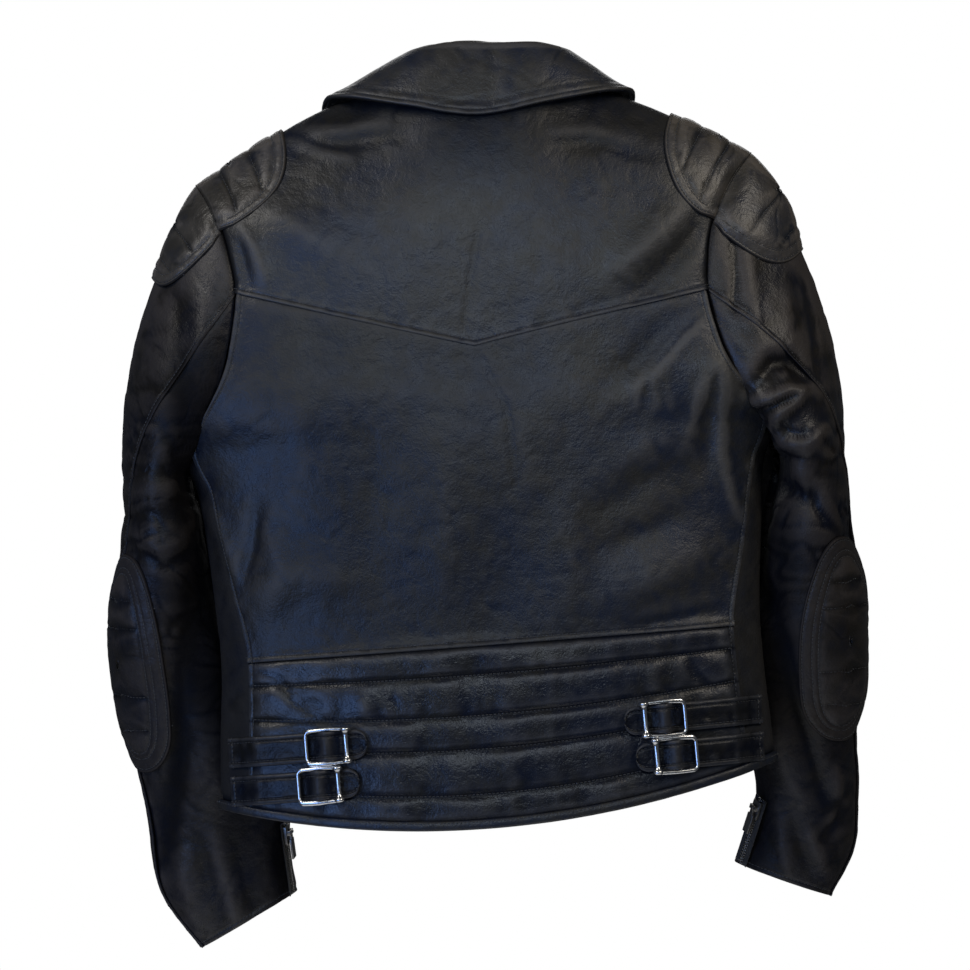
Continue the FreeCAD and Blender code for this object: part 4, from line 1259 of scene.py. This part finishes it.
def strap(side, level, name):
    """A strap from the side seam, under and over its buckle, to its rounded tip."""
    z, buckle = STRAPS[level]
    tip = buckle - STRAP_PAST_BUCKLE

    def point(s, t):
        x = mix(tip, STRAP_START, s)
        from_tip = np.clip((x - tip) / 11.0, 0, 1)
        half = STRAP_WIDTH / 2 * mix(0.18, 1.0, np.sqrt(1 - (1 - from_tip) ** 2))
        return waist_point(side, x, z + half * (2 * t - 1))

    def relief(p, n, s, t, far):
        x = mix(tip, STRAP_START, s)
        rest = mix(WAIST_PAD + 0.5, LEATHER + 1.0, np.clip((x - WAIST_PAD_END) / SIDE_STEP, 0, 1))
        hump = np.exp(-(((x - buckle) / 7.5) ** 2)) * (BUCKLE_LIFT + 2.2)
        edge = np.minimum(far["t0"], far["t1"])
        welt = 0.7 * np.exp(-(((edge - 2.6) / 1.3) ** 2)) - 0.5 * np.exp(-(((edge - 4.4) / 0.6) ** 2))
        return rest + hump + welt + 0.2 * noise(p, (16, 16, 9)) + 0.3 * noise(p, 30) - 0.3

    # painted shade: the middle of each strap is painted darker and less shiny than its edges
    def dull(p, t):
        return 0.5 * ease((0.5 - np.abs(t - 0.5)) * 9)
    leather(f"waist_strap_{name}_{level}", point, body_middle, sewn("plain", "fold", "fold", "fold"),
            step=1.5, relief=relief, lift=STRAP_THICK - 0.6, thick=STRAP_THICK - 0.3, dull=dull,
            surface=WAIST)


def knobbed_bar(half_length, radius):
    """The outline of a bar with a knob at each end, as (place along it, radius) pairs."""
    half = [(0, 0.85), (0.7, 0.9), (0.85, 1.05), (0.94, 1.35), (1.04, 1.7), (1.14, 1.75), (1.22, 1.4),
            (1.27, 0.7)]
    whole = np.array([(-x, r) for x, r in half[:0:-1]] + half)
    return whole * [half_length / 1.1, radius]


def buckle(side, level, name):
    """A bent wire frame: one bar with knob ends next to the middle of the back, and a hidden centre bar."""
    z, x = STRAPS[level]
    here = waist_point(side, x, z)
    forward = unit(waist_point(side, x + 8, z) - waist_point(side, x - 8, z))
    up = unit(waist_point(side, x, z + 8) - waist_point(side, x, z - 8))
    out = unit(np.cross(forward, up))
    out = out if out[1] > 0 else -out
    across = unit(np.cross(out, forward))
    centre = here + out * (WAIST_PAD + BUCKLE_LIFT)

    def world(flat, high):
        return centre + flat[:, :1] * forward + flat[:, 1:] * across + high[:, None] * out
    corner_at = np.array([BUCKLE_HALF_LENGTH, BUCKLE_HALF_WIDTH]) - BUCKLE_CORNER
    loop = []
    for k, signs in enumerate(((1, 1), (-1, 1), (-1, -1), (1, -1))):
        turn = np.radians(np.linspace(0, 90, 7) + 90 * k)
        loop.append(signs * corner_at + BUCKLE_CORNER * np.stack([np.cos(turn), np.sin(turn)], -1))
    loop = np.concatenate(loop)
    quarters = np.linspace(0, 1, 5)[:-1, None]
    loop = np.concatenate([mix(a, b, quarters) for a, b in zip(loop, np.roll(loop, -1, 0))])
    middle = np.cos(np.clip(loop[:, 0] / BUCKLE_HALF_LENGTH, -1, 1) * math.pi / 2)
    bowed = loop + np.stack([0 * middle, 0.55 * middle * np.sign(loop[:, 1])], -1)
    path = world(bowed, 0.8 * middle)
    worn_corner = ease((loop[:, 1] - BUCKLE_HALF_WIDTH + 4) / 4) * ease((loop[:, 0] + 6) / 8)
    thick = BUCKLE_WIRE + 0.7 * worn_corner
    section = oval(1.0, 1.0, count=12)[None] * thick[:, None, None]
    ups = np.tile(out, (len(path), 1))
    frame_piece = tube(f"buckle_frame_{name}_{level}", path, section, ups, STEEL, closed=True)
    belongs(frame_piece, f"buckle_{name}_{level}", f"buckle_{name}_{level}")
    outer_bar = centre + out * OUTER_BAR_LIFT - forward * BUCKLE_HALF_LENGTH
    for label, at, long, radius in (("bar", outer_bar, 0.98, 2.6), ("centre_bar", centre, 0.8, 1.3)):
        points, quads = lathe(knobbed_bar(long * BUCKLE_HALF_WIDTH, radius), 12)
        bar = stamp(f"buckle_{label}_{name}_{level}", points, quads, [at], [across], [out], STEEL)
        belongs(bar, body_name=f"buckle_{name}_{level}")


# ---- zips ----------------------------------------------------------------------------------------------

ROUNDING = 0.35


def softened(node, surface, body_name):
    """The CAD node's shape with its edges rounded, as a new piece."""
    mesh = frame["nodes"][node].data.copy()
    mesh.materials.clear()
    mesh.materials.append(surface)
    made = bpy.data.objects.new(f"{node}_shaped", mesh)
    bpy.context.scene.collection.objects.link(made)
    weld = made.modifiers.new("weld", "WELD")
    weld.merge_threshold = 0.00002
    flatten = made.modifiers.new("flatten", "DECIMATE")
    flatten.decimate_type, flatten.angle_limit = "DISSOLVE", math.radians(2)
    bevel = made.modifiers.new("bevel", "BEVEL")
    bevel.width, bevel.segments, bevel.limit_method = ROUNDING * MM, 2, "ANGLE"
    bpy.context.view_layer.update()
    evaluated = made.evaluated_get(bpy.context.evaluated_depsgraph_get())
    final = bpy.data.meshes.new_from_object(evaluated)
    made.modifiers.clear()
    made.data = final
    final.polygons.foreach_set("use_smooth", np.ones(len(final.polygons), bool))
    final.set_sharp_from_angle(angle=math.radians(50))
    belongs(made, node, body_name)


def zip_axes(name):
    """Top, bottom, direction down and outward direction of a zip, from its CAD chain."""
    co = np.array([v.co for v in frame["nodes"][f"{name}_chain"].data.vertices]) / MM
    centre = co.mean(0)
    _, _, axes = np.linalg.svd(co - centre, full_matrices=False)
    down = axes[0] if axes[0][2] < 0 else -axes[0]
    reach = (co - centre) @ down
    out = unit(np.cross(axes[1], down))
    tapes = np.array([v.co for v in frame["nodes"][f"{name}_tape"].data.vertices]).mean(0) / MM
    out = out if (centre - tapes) @ out > 0 else -out
    return centre + down * reach.min(), centre + down * reach.max(), down, out


def zips():
    """Rows of separate teeth on two tapes, with the slider and pull of the CAD model."""
    tooth = lathe(((-1.7, 0.35), (-1.5, 0.62), (0.5, 0.70), (1.1, 0.95), (1.7, 0.80), (1.9, 0.40)))
    tooth_pitch, off_middle = 1.25, 1.1
    # width of each tape and how far it lies behind the teeth
    tapes = {"front_zip": (17.0, 1.4)}
    for name in ("front_zip", "cuff_zip_left", "cuff_zip_right", "pocket_zip_left", "pocket_zip_right"):
        wide, behind = tapes.get(name, (6.0, 0.8))
        top, bottom, down, out = zip_axes(name)
        across = np.cross(out, down)
        length = np.linalg.norm(bottom - top)
        count = int(length / tooth_pitch)
        at = top + down * ((np.arange(count) + 0.5) / count * length)[:, None]
        sign = np.where(np.arange(count) % 2, 1, -1)[:, None]
        teeth = stamp(f"{name}_teeth", *tooth, at + sign * across * off_middle, -sign * across,
                      np.tile(out, (count, 1)), ZIP_METAL)
        belongs(teeth, f"{name}_chain")
        for label, sign in (("a", 1), ("b", -1)):
            path = top + down * np.linspace(0, length, max(int(length / 3), 8))[:, None]
            path = path - out * behind + sign * across * (wide / 2 + 2.4)
            path = path + out * (0.15 * noise(path, 12))[:, None]
            section = oval(wide / 2 + 0.4, 0.35, 0.4, 0.7)
            cord = 0.3 * np.exp(-((section[:, 0] + sign * wide / 2) ** 2))
            section = section + np.stack([0 * cord, cord], -1)
            tape = tube(f"{name}_tape_{label}", path, section, np.tile(out, (len(path), 1)), TAPE)
            belongs(tape, f"{name}_tape")
        for part in ("slider", "pull"):
            softened(f"{name}_{part}", ZIP_METAL, f"{name}_{part}")


# ---- stage -----------------------------------------------------------------------------------------------

def stage():
    """A pale floor below the hanging jacket, soft lights and the camera behind the wearer's back."""
    scene = bpy.context.scene
    low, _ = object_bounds()
    below = (0, 0, low[2] - 0.5)
    bpy.ops.mesh.primitive_circle_add(vertices=96, radius=0.62, fill_type="NGON", location=below)
    floor = bpy.context.object
    floor.name = "floor"
    pale = Look("floor", (0.8, 0.8, 0.79), 0.7, Emission_Strength=0.25, Emission_Color=(1, 1, 1, 1))
    tone = pale.ramp(pale.noise(9, 3.0), (0.3, (0.76, 0.76, 0.75)), (0.7, (0.84, 0.84, 0.83)))
    floor.data.materials.append(pale.finished(Base_Color=tone))
    floor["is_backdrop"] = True

    world = bpy.data.worlds.new("studio")
    scene.world = world
    world.use_nodes = True
    nodes, links = world.node_tree.nodes, world.node_tree.links
    lit = nodes["Background"]
    lit.inputs["Color"].default_value = (0.86, 0.92, 1.0, 1)
    lit.inputs["Strength"].default_value = 0.05
    seen = nodes.new("ShaderNodeBackground")
    seen.inputs["Color"].default_value = (1, 1, 1, 1)
    seen.inputs["Strength"].default_value = 1.0
    path = nodes.new("ShaderNodeLightPath")
    both = nodes.new("ShaderNodeMixShader")
    links.new(path.outputs["Is Camera Ray"], both.inputs[0])
    links.new(lit.outputs[0], both.inputs[1])
    links.new(seen.outputs[0], both.inputs[2])
    links.new(both.outputs[0], nodes["World Output"].inputs["Surface"])
    scene.view_settings.view_transform = "Standard"

    # name, place, size, power, colour
    lights = (
        ("key", (0.05, 2.7, 0.42), (1.2, 0.45), 12.5, (0.80, 0.90, 1.0)),
        ("blue_fill", (1.5, 2.0, -0.8), (1.2, 0.9), 18, (0.26, 0.46, 1.0)),
        ("warm_fill", (-1.5, 1.6, 1.0), (0.6, 0.9), 16, (1.0, 0.91, 0.78)),
        ("left_top", (1.5, 1.5, 1.1), (0.5, 0.8), 16, (1.0, 0.96, 0.9)),
        ("front", (0.0, -2.2, 0.8), (2.0, 1.4), 18, (1.0, 1.0, 1.0)),
    )
    target = np.array([0, 0, -0.3])
    for name, place, size, power, color in lights:
        data = bpy.data.lights.new(name, "AREA")
        data.shape, data.size, data.size_y = "RECTANGLE", *size
        data.energy, data.color = power, color
        lamp = bpy.data.objects.new(name, data)
        lamp.location = place
        lamp.rotation_euler = Vector(target - np.array(place)).to_track_quat("-Z", "Y").to_euler()
        scene.collection.objects.link(lamp)

    data = bpy.data.cameras.new("camera")
    camera = bpy.data.objects.new("camera", data)
    distance, view_width, sensor = 7.0, 0.8245, 36.0
    back_surface = 0.05
    camera.location = (-0.0085, distance + back_surface, -0.317)
    camera.rotation_euler = (math.pi / 2, 0, math.pi)
    data.sensor_width = sensor
    data.lens = sensor * distance / view_width
    data.clip_end = 60
    scene.collection.objects.link(camera)
    scene.camera = camera


# ---- all of it -------------------------------------------------------------------------------------------

back_panels()
waist_panel()
front_panels()
sleeves()
shoulder_pads()
elbow_pads()
collar()
hem_binding()
linings()
hanger_loop()
for side_name, side_sign in SIDES.items():
    for strap_level in STRAPS:
        strap(side_sign, strap_level, side_name)
        buckle(side_sign, strap_level, side_name)
softened("buckle_anchor_tabs", BLACK, "jacket")
zips()
stage()
